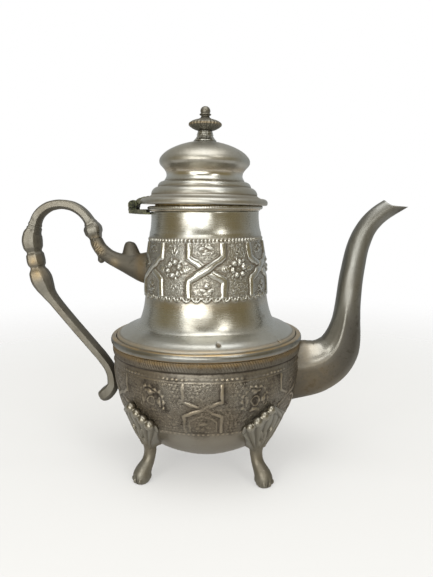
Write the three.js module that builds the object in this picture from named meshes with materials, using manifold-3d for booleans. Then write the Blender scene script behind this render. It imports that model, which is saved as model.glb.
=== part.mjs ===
// Footed silver-plated brass teapot with a hinged lid: low embossed bowl on four cast cabriole feet,
// tall flaring neck, swan spout on +X and cast loop handle on -X.
// Millimetres, +Z up. Z = 0 is the surface that the feet stand on.
import * as THREE from 'three';
import { mergeVertices } from 'three/addons/utils/BufferGeometryUtils.js';
import Module from 'manifold-3d';

const wasm = await Module();
wasm.setup();

// ---------------------------------------------------------------- driving dimensions
const SHEET = 1.1;              // wall of the bowl and the neck
const LID_SHEET = 0.9;          // wall of the lid
const GAP = 0.3;                // clearance between pieces that touch on the real pot
const TURN_STEPS = 32;          // facets round a turned piece
const SMALL_STEPS = 16;         // facets round a small turned piece

const BOWL_RIM_Z = 91.6;        // top edge of the bowl, hidden by the shoulder ring
const BOWL_BOTTOM_Z = 8.4;
const RING_Z = 94.6;            // middle of the shoulder ring
const RING_R = 69.2;            // outer radius of the shoulder ring
const NECK_TOP_Z = 184.3;
const NECK_TOP_R = 38.2;
const COLLAR_TOP_Z = 188.3;
const COLLAR_R = 40.8;
const LID_RIM_Z = 188.9;        // lower edge of the lid rim, before the lid's lean
const LID_RIM_R = 45;
const LID_TOP_Z = 232.4;
const LID_LEAN = 1.3;           // degrees: the strained hinge holds the lid up on its side
const LID_LEAN_Z = 218;         // height of the point that the lid leans about
const FINIAL_TOP_Z = 256.6;

const HINGE_X = -51.2;          // hinge pin axis, parallel to Y
const HINGE_Z = 189.4;
const KNUCKLE_R = 3.2;
const PIN_R = 1.0;

const FOOT_ANGLES = { front_right: -45, front_left: -135, rear_left: 135, rear_right: 45 };

const SPOUT_REACH_X = 141.67;   // farthest points of the spout and the handle from the pot's axis
const HANDLE_REACH_X = -134.2;
const AXIS_X = -(SPOUT_REACH_X + HANDLE_REACH_X) / 2;   // puts the origin midway between the two

// ---------------------------------------------------------------- solids and booleans
function toSolid(geometry) {
  const bare = geometry.index ? geometry.toNonIndexed() : geometry.clone();
  bare.deleteAttribute('normal');
  bare.deleteAttribute('uv');
  const welded = mergeVertices(bare, 1e-4);
  const vertProperties = new Float32Array(welded.attributes.position.array);
  const triVerts = new Uint32Array(welded.index.array);
  return new wasm.Manifold(new wasm.Mesh({ numProp: 3, vertProperties, triVerts }));
}

function toGeometry(solid) {
  const mesh = solid.getMesh();
  const geometry = new THREE.BufferGeometry();
  geometry.setAttribute('position', new THREE.BufferAttribute(new Float32Array(mesh.vertProperties), 3));
  geometry.setIndex(new THREE.BufferAttribute(new Uint32Array(mesh.triVerts), 1));
  geometry.computeVertexNormals();
  return geometry;
}

function joined(...solids) {
  return solids.reduce((all, next) => all.add(next));
}

function cut(solid, ...tools) {
  return tools.reduce((rest, tool) => rest.subtract(tool), solid);
}

// ---------------------------------------------------------------- shape helpers
// A turned solid: the profile is a list of [radius, z], from the axis to the axis or closed on itself.
function turned(profile, steps = TURN_STEPS, place = new THREE.Matrix4()) {
  const first = profile[0];
  const last = profile[profile.length - 1];
  const points = profile.map(([r, z]) => new THREE.Vector2(r, z));
  if (first[0] > 0 || last[0] > 0) points.push(new THREE.Vector2(first[0], first[1]));
  const geometry = new THREE.LatheGeometry(points, steps);
  geometry.rotateX(Math.PI / 2);
  geometry.applyMatrix4(place);
  return outwardSolid(geometry);
}

function outwardSolid(geometry) {
  const solid = toSolid(geometry);
  return solid.volume() < 0 ? toSolid(flipped(geometry)) : solid;
}

function flipped(geometry) {
  const copy = geometry.index ? geometry.toNonIndexed() : geometry.clone();
  const p = copy.attributes.position;
  for (let i = 0; i < p.count; i += 3) {
    const [bx, by, bz] = [p.getX(i + 1), p.getY(i + 1), p.getZ(i + 1)];
    p.setXYZ(i + 1, p.getX(i + 2), p.getY(i + 2), p.getZ(i + 2));
    p.setXYZ(i + 2, bx, by, bz);
  }
  return copy;
}

// The inner line of a sheet-metal profile: each point moved inward along the profile's normal.
function inset(profile, distance) {
  return profile.map(([r, z], i) => {
    const [r0, z0] = profile[Math.max(i - 1, 0)];
    const [r1, z1] = profile[Math.min(i + 1, profile.length - 1)];
    const length = Math.hypot(r1 - r0, z1 - z0);
    const normal = [-(z1 - z0) / length, (r1 - r0) / length];
    return [Math.max(r + normal[0] * distance, 0), z + normal[1] * distance];
  });
}

// A loft through closed rings that all have the same number of points, with flat fans as its ends.
function lofted(rings) {
  const count = rings[0].length;
  const positions = rings.flat().flatMap((p) => [p.x, p.y, p.z]);
  const index = [];
  for (let k = 0; k + 1 < rings.length; k++) {
    for (let i = 0; i < count; i++) {
      const a = k * count + i;
      const b = k * count + (i + 1) % count;
      index.push(a, b, b + count, a, b + count, a + count);
    }
  }
  const addEnd = (ring, offset, outward) => {
    const centre = ring.reduce((sum, p) => sum.add(p), new THREE.Vector3()).divideScalar(count);
    positions.push(centre.x, centre.y, centre.z);
    const c = positions.length / 3 - 1;
    for (let i = 0; i < count; i++) {
      const a = offset + i;
      const b = offset + (i + 1) % count;
      if (outward) index.push(c, a, b);
      else index.push(c, b, a);
    }
  };
  addEnd(rings[0], 0, false);
  addEnd(rings[rings.length - 1], (rings.length - 1) * count, true);
  const geometry = new THREE.BufferGeometry();
  geometry.setAttribute('position', new THREE.BufferAttribute(new Float32Array(positions), 3));
  geometry.setIndex(index);
  return outwardSolid(geometry);
}

// Elliptical rings along a path in the XZ plane. A station is [x, z, half thickness in the plane,
// half depth across it]; `grow` is added to both halves.
function planarRings(stations, sides, grow = 0) {
  return stations.map(([x, z, half, depth], i) => {
    const [x0, z0] = stations[Math.max(i - 1, 0)];
    const [x1, z1] = stations[Math.min(i + 1, stations.length - 1)];
    const length = Math.hypot(x1 - x0, z1 - z0);
    const normal = [-(z1 - z0) / length, (x1 - x0) / length];
    return Array.from({ length: sides }, (_, k) => {
      const angle = (2 * Math.PI * k) / sides;
      const across = (half + grow) * Math.cos(angle);
      const y = (depth + grow) * Math.sin(angle);
      return new THREE.Vector3(x + normal[0] * across, y, z + normal[1] * across);
    });
  });
}

function block(x0, x1, y0, y1, z0, z1) {
  const geometry = new THREE.BoxGeometry(x1 - x0, y1 - y0, z1 - z0);
  geometry.translate((x0 + x1) / 2, (y0 + y1) / 2, (z0 + z1) / 2);
  return toSolid(geometry);
}

// A round bar along Y.
function barY(x, z, radius, y0, y1, steps = SMALL_STEPS) {
  const geometry = new THREE.CylinderGeometry(radius, radius, y1 - y0, steps);
  geometry.translate(x, (y0 + y1) / 2, z);
  return toSolid(geometry);
}

// A prism across Y whose outline is given as [x, z] points.
function prismY(outline, y0, y1) {
  const shape = new THREE.Shape(outline.map(([x, z]) => new THREE.Vector2(x, z)));
  const geometry = new THREE.ExtrudeGeometry(shape, { depth: y1 - y0, bevelEnabled: false });
  geometry.rotateX(Math.PI / 2);
  geometry.translate(0, y1, 0);
  return toSolid(geometry);
}

// ---------------------------------------------------------------- body profiles, [radius, z]
const BOWL_OUTSIDE = [
  [12, 9.2], [20, 10.8], [27, 13.6], [33, 16.8], [40.4, 21], [47.8, 26.7], [54.2, 33.6], [59.3, 41],
  [62.8, 49], [65.4, 57.8], [67, 67], [67.6, 75], [67.2, 81], [67, 84.6], [68, 86.4],
  [68.2, 89.4], [67.6, BOWL_RIM_Z],
];
const NECK_OUTSIDE = [
  [65.1, 86.8], [65.1, 97.9], [63.6, 99], [59.6, 101.3], [55.2, 103.2], [50.2, 105.4], [48, 108.3],
  [46.1, 113.5], [45, 117.9], [43.9, 124.4], [43.8, 135.3], [43, 146.1], [41.2, 159.7],
  [39, 171.7], [38.3, 177], [NECK_TOP_R, NECK_TOP_Z],
];
const LID_OUTSIDE = [
  [LID_RIM_R - 0.7, LID_RIM_Z], [LID_RIM_R, 190], [LID_RIM_R, 191.5], [43, 193.1], [39.2, 194.2],
  [37.2, 195.6], [36.1, 197.4], [32.2, 201.2], [28.2, 205.2], [26.8, 208.8], [28.1, 212.4],
  [31.1, 215.6], [31.9, 218.5], [30.7, 222], [26.2, 226.2], [17.5, 230.3], [8.5, LID_TOP_Z],
];

function bowlSolid() {
  const outside = [[0, BOWL_BOTTOM_Z], ...BOWL_OUTSIDE];
  const inside = inset(outside, SHEET).slice(0, -4);
  const lip = [[65.5, 86.4], [65.5, BOWL_RIM_Z]];
  return turned([...outside, ...lip.reverse(), ...inside.slice(1).reverse(), [0, BOWL_BOTTOM_Z + SHEET]]);
}

// The bowl's and the neck's outer forms as solid plugs, grown by the clearance: they cut what is
// soldered to them.
function bowlPlug() {
  const outside = inset([[0, BOWL_BOTTOM_Z], ...BOWL_OUTSIDE], -GAP);
  outside[0][0] = 0;
  return turned([...outside, [0, BOWL_RIM_Z]]);
}

function neckPlug() {
  const outside = inset(NECK_OUTSIDE.slice(1), -GAP);
  return turned([[0, outside[0][1]], ...outside, [0, NECK_TOP_Z]]);
}

function bowl() {
  const opening = new THREE.CylinderGeometry(SPOUT_HOLE_R, SPOUT_HOLE_R, 24, 24);
  opening.rotateZ(Math.PI / 2);
  opening.translate(64, 0, SPOUT_HOLE_Z);
  return cut(bowlSolid(), toSolid(opening));
}

function neck() {
  const inside = inset(NECK_OUTSIDE, SHEET);
  inside[0] = [NECK_OUTSIDE[0][0] - SHEET, NECK_OUTSIDE[0][1]];
  inside[1] = [NECK_OUTSIDE[1][0] - SHEET, NECK_OUTSIDE[1][1] - SHEET];
  inside[inside.length - 1] = [NECK_TOP_R - SHEET, NECK_TOP_Z];
  return turned([...NECK_OUTSIDE, ...inside.reverse()]);
}

function shoulderRing() {
  const half = 2.7;
  const inner = 65.5;
  const bulge = [];
  for (let i = 0; i <= 6; i++) {
    const angle = -Math.PI / 2 + (Math.PI * i) / 6;
    bulge.push([67.3 + (RING_R - 67.3) * Math.cos(angle), RING_Z + half * Math.sin(angle)]);
  }
  return turned([[inner, RING_Z - half], ...bulge, [inner, RING_Z + half]]);
}

function mouthCollar() {
  const base = NECK_TOP_Z + GAP;
  return turned([
    [36.7, base], [38.4, base], [40.2, 185.7], [COLLAR_R, 186.6], [COLLAR_R, 187.6],
    [40.2, COLLAR_TOP_Z], [36.7, COLLAR_TOP_Z],
  ]);
}

// ---------------------------------------------------------------- spout and its strainer
const SPOUT_HOLE_R = 14;
const SPOUT_HOLE_Z = 68.5;
const SPOUT_WALL = 1.2;
// [x, z, half height in the plane, half width across it], from the bowl to the tip
const SPOUT_STATIONS = [
  [60, 68.4, 22.4, 15.5], [68, 69.3, 21.3, 15.2], [77, 70.9, 20.4, 14.4], [85.5, 74.2, 18.6, 13.4],
  [92.3, 79.6, 16.8, 12.3], [97.2, 87.2, 14.7, 11.3], [99.9, 96.6, 12.2, 10.4], [101.4, 106.8, 10.1, 9.6],
  [102.4, 119.5, 8.9, 8.8], [103.4, 131.5, 8.5, 8.3], [105.3, 145, 8.1, 7.9], [107.4, 156.5, 7.8, 7.5],
  [110.2, 165, 7.5, 7.1], [113.5, 171.8, 7, 6.8], [117.7, 177.4, 6.8, 6.5], [122.4, 181.8, 6.6, 6.3],
  [128, 185.6, 6.4, 6.1], [136, 190.4, 6.3, 5.9], [142, 194, 6.2, 5.8],
];

function spout() {
  const outer = lofted(planarRings(SPOUT_STATIONS, 16));
  const boreStations = [[52, 67.6, 22.6, 15.6], ...SPOUT_STATIONS, [150, 198.8, 6.2, 5.8]];
  const bore = lofted(planarRings(boreStations, 16, -SPOUT_WALL));
  // the mouth is scooped: a low back lip, then a long beak
  const overMouth = prismY([
    [118, 200], [124.6, 191.6], [126.4, 189.2], [129, 187.7], [132.5, 187.1], [140.2, 186.5],
    [160, 186.5], [160, 230], [118, 230],
  ], -20, 20);
  return cut(outer, bore, bowlPlug(), overMouth);
}

// A pierced dish soldered inside the bowl behind the spout.
function spoutStrainer() {
  const outside = [[60.9, 52], [62.8, 58], [64, 64], [64.7, 70], [64.9, 77], [64.6, 84.5]];
  const shell = turned([...outside, ...outside.map(([r, z]) => [r - 0.8, z]).reverse()], 48);
  const disc = new THREE.CylinderGeometry(SPOUT_HOLE_R + 2, SPOUT_HOLE_R + 2, 16, 20);
  disc.rotateZ(Math.PI / 2);
  disc.translate(64, 0, SPOUT_HOLE_Z);
  let plate = shell.intersect(toSolid(disc));
  const hole = (y, z) => {
    const geometry = new THREE.CylinderGeometry(1.4, 1.4, 16, 6);
    geometry.rotateZ(Math.PI / 2);
    geometry.translate(62, y, z);
    return toSolid(geometry);
  };
  plate = cut(plate, hole(0, SPOUT_HOLE_Z));
  for (const [ringRadius, count] of [[5, 6], [10, 12]]) {
    for (let i = 0; i < count; i++) {
      const angle = (2 * Math.PI * i) / count;
      plate = cut(plate, hole(ringRadius * Math.cos(angle), SPOUT_HOLE_Z + ringRadius * Math.sin(angle)));
    }
  }
  return plate;
}

// ---------------------------------------------------------------- handle
// [x, z, half thickness in the plane, half depth across it], from the knop to the curled lower end
const LOOP_STATIONS = [
  [-80.95, 166.75, 4.3, 4.6], [-81.9, 169.8, 5.9, 6.0], [-82.6, 172.4, 6.1, 6.2], [-83.4, 175, 5.2, 5.4],
  [-85.1, 178.5, 3.6, 4.5], [-88.4, 183, 3.4, 4.8], [-93.3, 187, 3.4, 5], [-99, 189.4, 3.4, 5.1],
  [-105.2, 190.2, 3.4, 5.1], [-112, 189.2, 3.4, 5.1], [-118, 186.1, 3.5, 5.1], [-122.4, 181.5, 3.6, 5.1],
  [-124.8, 176, 3.8, 5.3], [-126, 172, 4.6, 5.7], [-127.3, 168.2, 6, 6.4], [-127.7, 163.8, 6.5, 6.8],
  [-127.3, 159.2, 6.1, 6.5], [-126.6, 155.2, 5.2, 5.7], [-126.1, 151.2, 5.7, 6], [-125.5, 148, 5.8, 6],
  [-124.9, 144.9, 5, 5.4], [-124, 140.6, 6.3, 6.3], [-122.2, 135.6, 7, 6.6], [-119.9, 130.2, 6.1, 6.2],
  [-117.2, 125, 4.6, 5.5], [-112.5, 118.5, 3.7, 5.1], [-99.6, 102.2, 3.5, 5.1], [-84.9, 84.4, 3.5, 5.1],
  [-77.4, 75, 3.5, 5.1], [-73.5, 68.8, 3.5, 5.1], [-71.4, 62.4, 3.6, 5.1], [-71, 56.6, 3.9, 5.1],
  [-73.2, 51.4, 4.6, 5.2], [-77, 47.8, 5, 5.2], [-80.8, 45.9, 3.7, 4],
];
const BRACKET_STATIONS = [
  [-80.75, 166.3, 4.3, 4.4], [-79.4, 162.2, 4.8, 4.7], [-77.5, 158.6, 4.9, 4.8], [-74.4, 155.2, 5, 5],
  [-70.6, 152.2, 5.1, 5.3], [-65.4, 149.6, 5.6, 5.9], [-59, 147.4, 6.9, 6.9], [-52, 145.5, 9, 8.2],
  [-45.5, 144.2, 11.1, 9.6], [-38, 143.4, 12.8, 11],
];

function handleLoop() {
  return cut(lofted(planarRings(LOOP_STATIONS, 12)), bowlPlug());
}

function handleBracket() {
  const horn = lofted(planarRings(BRACKET_STATIONS, 12));
  const thumbLug = lofted(planarRings([
    [-55, 148, 8.2, 4.2], [-55, 153.4, 6.3, 3.8], [-55.1, 158.2, 4.4, 3.4], [-55, 161.6, 2.7, 2.6],
    [-55, 163, 1.1, 1.1],
  ], 10));
  const bud = lofted(planarRings([
    [-78.4, 158, 1.6, 3], [-78, 153.6, 2.4, 3.2], [-77.2, 150.2, 2.3, 2.6], [-76.4, 147.9, 1.1, 1.2],
  ], 8));
  return cut(joined(horn, thumbLug, bud), neckPlug());
}

// ---------------------------------------------------------------- feet
// One cast leg, made on +X and turned to its place. A station is [radius, z, half thickness, half width].
const LEG_STATIONS = [
  [57.6, -1.4, 4.2, 4], [58.2, 2, 5.6, 5.4], [58.7, 5.2, 6.5, 5.9], [56.2, 9.4, 4.9, 5.2],
  [53, 13.4, 4, 4.4], [51.8, 17.4, 3.9, 4.2], [51.2, 21.6, 4, 4.4], [51.6, 26, 4.3, 5.2],
  [52.4, 30.5, 4.4, 6.6], [54, 36, 4, 7.5],
];
// The fan's outer surface, [radius, z]: close to the bowl at its top, standing off it at the ankle
const FAN_OUTSIDE = [
  [54.6, 23], [55.6, 27], [57.6, 32], [60.2, 38], [63, 44], [65.6, 50], [67.6, 58], [69, 66],
];
// The gabled fan, unrolled on the bowl: [degrees from the leg's middle, z]
const FAN_OUTLINE = [
  [-5, 24], [-9, 29], [-19.5, 43], [-19, 46.5], [0, 60.5], [19, 46.5], [19.5, 43], [9, 29], [5, 24],
];

function footFan() {
  const bottom = FAN_OUTSIDE[0][1];
  const top = FAN_OUTSIDE[FAN_OUTSIDE.length - 1][1];
  const blank = turned([[0, bottom], ...FAN_OUTSIDE, [0, top]]);
  const near = 27;
  const far = 90;
  const outlineAt = (x) => FAN_OUTLINE.map(
    ([degrees, z]) => new THREE.Vector3(x, x * Math.tan((degrees * Math.PI) / 180), z));
  return blank.intersect(lofted([outlineAt(near), outlineAt(far)]));
}

function foot() {
  const beads = [];
  for (const side of [-1, 1]) {
    for (let i = 0; i < 5; i++) {
      const share = (i + 0.6) / 5;
      const angle = (side * 18 * share * Math.PI) / 180;
      const z = 58.6 - 13.4 * share;
      const radius = bowlRadiusAt(z) + 2.2;
      const bead = new THREE.OctahedronGeometry(2.2, 0);
      bead.translate(radius * Math.cos(angle), radius * Math.sin(angle), z);
      beads.push(toSolid(bead));
    }
  }
  const shank = lofted(planarRings(LEG_STATIONS, 10));
  return cut(joined(footFan(), shank, ...beads), bowlPlug(), block(0, 100, -50, 50, -10, 0));
}

function bowlRadiusAt(z) {
  for (let i = 1; i < BOWL_OUTSIDE.length; i++) {
    const [r0, z0] = BOWL_OUTSIDE[i - 1];
    const [r1, z1] = BOWL_OUTSIDE[i];
    if (z <= z1) return r0 + ((r1 - r0) * (z - z0)) / (z1 - z0);
  }
  return BOWL_OUTSIDE[BOWL_OUTSIDE.length - 1][0];
}

// ---------------------------------------------------------------- hinge
function hingeBodyLeaf() {
  const leaf = prismY([
    [-53.9, 183.4], [-38.6, 182.4], [-38.6, NECK_TOP_Z - GAP], [-41.2, NECK_TOP_Z - GAP], [-41.2, 186],
    [-53.9, 186],
  ], -7, 7);
  const cheeks = [-1, 1].map((side) => {
    const y0 = side > 0 ? 3.2 : -6.6;
    return joined(
      barY(HINGE_X, HINGE_Z, KNUCKLE_R, y0, y0 + 3.4),
      block(HINGE_X - KNUCKLE_R + 0.2, HINGE_X + KNUCKLE_R - 0.6, y0, y0 + 3.4, 185, HINGE_Z - 0.4),
    );
  });
  return cut(joined(leaf, ...cheeks), barY(HINGE_X, HINGE_Z, PIN_R + GAP, -10, 10), neckPlug());
}

function hingePin() {
  const shaft = barY(HINGE_X, HINGE_Z, PIN_R, -7, 7, 12);
  const heads = [-1, 1].map((side) => {
    const y0 = side > 0 ? 6.9 : -8.3;
    return barY(HINGE_X, HINGE_Z, 2.1, y0, y0 + 1.4, 12);
  });
  return joined(shaft, ...heads);
}

// Where the lid stands: leaned about a point on the pot's axis.
function lidPlace() {
  return new THREE.Matrix4()
    .makeTranslation(0, 0, LID_LEAN_Z)
    .multiply(new THREE.Matrix4().makeRotationY((LID_LEAN * Math.PI) / 180))
    .multiply(new THREE.Matrix4().makeTranslation(0, 0, -LID_LEAN_Z));
}

function hingeLidLeaf() {
  const lug = prismY([
    [HINGE_X + 1, HINGE_Z - 1.6], [HINGE_X + 1, HINGE_Z + 2.6], [-47.6, 194], [-44.6, 194.8], [-40.4, 195.6],
    [-38, 195.4], [-38, 191], [-45.4, 190.6],
  ], -2.8, 2.8);
  const solid = joined(lug, barY(HINGE_X, HINGE_Z, KNUCKLE_R, -2.8, 2.8));
  const lidPlug = turned([[0, LID_RIM_Z - 3], [LID_RIM_R - 0.7 + GAP, LID_RIM_Z - 3],
    ...inset(LID_OUTSIDE, -GAP), [0, LID_TOP_Z]], TURN_STEPS, lidPlace());
  return cut(solid, lidPlug, barY(HINGE_X, HINGE_Z, PIN_R + GAP, -10, 10));
}

// ---------------------------------------------------------------- lid and finial
const STUD_R = 1.7;
const STUD_HOLE_R = 2.1;

function lidShell() {
  const inside = inset(LID_OUTSIDE, LID_SHEET);
  inside[0] = [LID_RIM_R - 0.7 - LID_SHEET, LID_RIM_Z];
  const top = [[STUD_HOLE_R, LID_TOP_Z + 0.1], [STUD_HOLE_R, LID_TOP_Z + 0.1 - LID_SHEET]];
  return turned([...LID_OUTSIDE, ...top, ...inside.reverse()]);
}

// The sleeve under the lid that drops into the neck.
function lidBezel() {
  return turned([
    [35, 181], [35, 189.7], [41.8, 189.7], [41.8, 190.5], [34.2, 190.5], [34.2, 181],
  ]);
}

function finialBase() {
  const bottom = LID_TOP_Z + 0.1 + GAP;
  return turned([
    [STUD_HOLE_R, bottom], [8, bottom], [8, 233.2], [6.6, 234.6], [5.4, 236.6], [5.8, 237.4],
    [5.2, 238.2], [5.6, 239], [4.8, 239.8], [STUD_HOLE_R, 239.8],
  ], SMALL_STEPS);
}

function finialDisc() {
  return turned([
    [STUD_HOLE_R, 240.1], [5.2, 240.1], [9, 241.6], [11.7, 243.8], [11, 245.2], [8, 247], [4.4, 248.4],
    [3.2, 248.9], [STUD_HOLE_R, 248.9],
  ], 24);
}

function finialKnob() {
  const base = 249.2;
  return turned([
    [STUD_HOLE_R, base], [3.3, base], [3, 250.2], [4.1, 250.8], [4.1, 251.4], [3, 251.8], [3.2, 253.4],
    [2.9, 255.2], [1.8, 256.3], [0, FINIAL_TOP_Z], [0, 254.2], [STUD_HOLE_R, 254.2],
  ], SMALL_STEPS);
}

function finialStud() {
  return turned([[0, 225.4], [STUD_R, 225.4], [STUD_R, 253.9], [0, 253.9]], 12);
}

function finialWasher() {
  return turned([[STUD_HOLE_R, 230.1], [5, 230.1], [5, 230.9], [STUD_HOLE_R, 230.9]], SMALL_STEPS);
}

function finialNut() {
  return turned([[STUD_HOLE_R, 226.6], [3.8, 226.6], [3.8, 229.8], [STUD_HOLE_R, 229.8]], 6);
}

// ---------------------------------------------------------------- materials and assembly
const finish = (color, roughness) => new THREE.MeshStandardMaterial({ color, roughness, metalness: 1 });
const FINISHES = {
  plate: () => finish(0x9c9580, 0.32),
  chased: () => finish(0x6f6a5a, 0.5),
  bright: () => finish(0xc8c0a4, 0.25),
  cast: () => finish(0x77705f, 0.48),
  patina: () => finish(0x6d7058, 0.6),
  brass: () => finish(0xa88a4c, 0.4),
};

function piece(name, solid, finishName) {
  const mesh = new THREE.Mesh(toGeometry(solid), FINISHES[finishName]());
  mesh.name = name;
  return mesh;
}

const pot = new THREE.Group();
pot.position.x = AXIS_X;

pot.add(
  piece('bowl', bowl(), 'chased'),
  piece('neck', neck(), 'plate'),
  piece('shoulder_ring', shoulderRing(), 'bright'),
  piece('mouth_collar', mouthCollar(), 'plate'),
  piece('spout', spout(), 'plate'),
  piece('spout_strainer', spoutStrainer(), 'brass'),
  piece('handle_bracket', handleBracket(), 'cast'),
  piece('handle_loop', handleLoop(), 'cast'),
  piece('hinge_body_leaf', hingeBodyLeaf(), 'patina'),
  piece('hinge_pin', hingePin(), 'patina'),
);

for (const [place, degrees] of Object.entries(FOOT_ANGLES)) {
  const leg = piece(`foot_${place}`, foot(), 'cast');
  leg.rotation.z = (degrees * Math.PI) / 180;
  pot.add(leg);
}

const lid = new THREE.Group();
lid.applyMatrix4(lidPlace());
lid.add(
  piece('lid_shell', lidShell(), 'plate'),
  piece('lid_bezel', lidBezel(), 'brass'),
  piece('finial_base', finialBase(), 'plate'),
  piece('finial_disc', finialDisc(), 'bright'),
  piece('finial_knob', finialKnob(), 'plate'),
  piece('finial_stud', finialStud(), 'brass'),
  piece('finial_washer', finialWasher(), 'brass'),
  piece('finial_nut', finialNut(), 'brass'),
);
pot.add(lid, piece('hinge_lid_leaf', hingeLidLeaf(), 'patina'));

const part = new THREE.Group();
part.add(pot);

export default part;
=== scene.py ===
import math

import bpy
import numpy as np
from mathutils import Matrix, Vector


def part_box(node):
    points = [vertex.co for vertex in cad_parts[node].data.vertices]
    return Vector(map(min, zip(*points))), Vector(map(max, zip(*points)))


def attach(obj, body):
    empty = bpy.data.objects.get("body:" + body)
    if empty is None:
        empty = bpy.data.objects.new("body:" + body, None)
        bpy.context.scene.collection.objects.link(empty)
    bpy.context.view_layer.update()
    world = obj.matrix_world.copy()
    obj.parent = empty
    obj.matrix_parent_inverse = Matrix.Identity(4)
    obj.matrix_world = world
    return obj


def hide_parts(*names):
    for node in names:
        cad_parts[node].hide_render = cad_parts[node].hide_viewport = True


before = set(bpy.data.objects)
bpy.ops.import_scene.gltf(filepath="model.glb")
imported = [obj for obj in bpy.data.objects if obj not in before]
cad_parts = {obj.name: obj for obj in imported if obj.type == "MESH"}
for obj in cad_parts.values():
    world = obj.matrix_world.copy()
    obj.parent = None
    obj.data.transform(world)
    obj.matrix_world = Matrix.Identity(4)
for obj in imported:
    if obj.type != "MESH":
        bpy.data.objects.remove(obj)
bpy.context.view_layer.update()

SCENE = bpy.context.scene

NECK_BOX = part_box("neck")
AXIS = (NECK_BOX[0].x + NECK_BOX[1].x) / 2          # the pot's axis in the row frame, metres
LEAN = math.radians(1.3)                            # the lid leans on its strained hinge
LEAN_Z = 218.0
CAMERA_PITCH, CAMERA_YAW, CAMERA_ROLL = 8.261, 4.0, 0.4        # degrees down, to the left and over
CAMERA_PLACE = Vector((0.03385 + AXIS, -0.37421, 0.18317))
LENS_MM, SENSOR_MM = 32.44, 36
FLOOR_M = 12.0
HAMMERED_M = 0.0003                                 # depth of the broad bumps in sheet and castings


def linked(name, data):
    made = bpy.data.objects.new(name, data)
    SCENE.collection.objects.link(made)
    return made


def new_mesh(name, points, faces):
    mesh = bpy.data.meshes.new(name)
    mesh.from_pydata(np.asarray(points, float).tolist(), [], faces)
    return mesh


# ---------------- camera, light and floor
def make_camera():
    pitch, yaw, roll = map(math.radians, (CAMERA_PITCH, CAMERA_YAW, CAMERA_ROLL))
    ahead = Vector((-math.sin(yaw) * math.cos(pitch), math.cos(yaw) * math.cos(pitch), -math.sin(pitch)))
    right = Vector((math.cos(yaw), math.sin(yaw), 0))
    up = right.cross(ahead)
    right, up = (right * math.cos(roll) - up * math.sin(roll), up * math.cos(roll) + right * math.sin(roll))
    data = bpy.data.cameras.new("camera")
    data.lens = LENS_MM
    data.sensor_width = SENSOR_MM
    camera = linked("camera", data)
    turn = Matrix((right, up, -ahead)).transposed().to_4x4()
    camera.matrix_world = Matrix.Translation(CAMERA_PLACE) @ turn
    data.clip_start = 0.01
    data.clip_end = 50
    SCENE.camera = camera


def area_light(name, azimuth, distance, height, width, tall, power, colour, aim_z=0.12):
    """A soft box at an azimuth seen from above, 0 towards -Y and positive towards +X."""
    data = bpy.data.lights.new(name, "AREA")
    data.shape = "RECTANGLE"
    data.size, data.size_y = width, tall
    data.energy = power
    data.color = colour
    light = linked(name, data)
    a = math.radians(azimuth)
    place = Vector((distance * math.sin(a) + AXIS, -distance * math.cos(a), height))
    aim = Vector((AXIS, 0, aim_z)) - place
    light.matrix_world = Matrix.Translation(place) @ aim.to_track_quat("-Z", "Y").to_matrix().to_4x4()
    light.visible_camera = False


def node(tree, kind, inputs=None, **props):
    made = tree.nodes.new(kind)
    for key, value in props.items():
        setattr(made, key, value)
    for key, value in (inputs or {}).items():
        if isinstance(value, bpy.types.NodeSocket):
            tree.links.new(value, made.inputs[key])
        else:
            made.inputs[key].default_value = value
    return made


def mathn(tree, operation, a, b=0.0, clamp=False):
    return node(tree, "ShaderNodeMath", {0: a, 1: b}, operation=operation, use_clamp=clamp).outputs[0]


def ramp(tree, value, low, high, to_low=0.0, to_high=1.0):
    made = node(tree, "ShaderNodeMapRange", {"Value": value, "From Min": low, "From Max": high,
                                             "To Min": to_low, "To Max": to_high}, clamp=True,
                interpolation_type="SMOOTHSTEP")
    return made.outputs[0]


def mix_colour(tree, factor, a, b, blend="MIX"):
    made = node(tree, "ShaderNodeMix", {0: factor}, data_type="RGBA", blend_type=blend)
    for socket, value in ((6, a), (7, b)):
        if isinstance(value, bpy.types.NodeSocket):
            tree.links.new(value, made.inputs[socket])
        else:
            made.inputs[socket].default_value = (*value, 1.0)
    return made.outputs[2]


def make_world():
    world = bpy.data.worlds.new("world")
    SCENE.world = world
    world.use_nodes = True
    tree = world.node_tree
    tree.nodes.clear()
    coords = node(tree, "ShaderNodeTexCoord")
    split = node(tree, "ShaderNodeSeparateXYZ", {0: coords.outputs["Generated"]})
    behind = ramp(tree, split.outputs[1], -0.35, 0.55)
    above = ramp(tree, split.outputs[2], 0.15, 0.9)
    below = ramp(tree, split.outputs[2], -0.08, -0.5)
    room = mix_colour(tree, behind, (0.27, 0.218, 0.11), (0.46, 0.475, 0.475))
    room = mix_colour(tree, above, room, (0.41, 0.395, 0.35))
    room = mix_colour(tree, below, room, (0.56, 0.54, 0.51))
    lit = node(tree, "ShaderNodeBackground", {"Color": room, "Strength": 1.0})
    seen = node(tree, "ShaderNodeBackground", {"Color": (1, 1, 1, 1), "Strength": 1.0})
    path = node(tree, "ShaderNodeLightPath")
    both = node(tree, "ShaderNodeMixShader", {0: path.outputs["Is Camera Ray"], 1: lit.outputs[0],
                                              2: seen.outputs[0]})
    node(tree, "ShaderNodeOutputWorld", {"Surface": both.outputs[0]})


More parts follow.
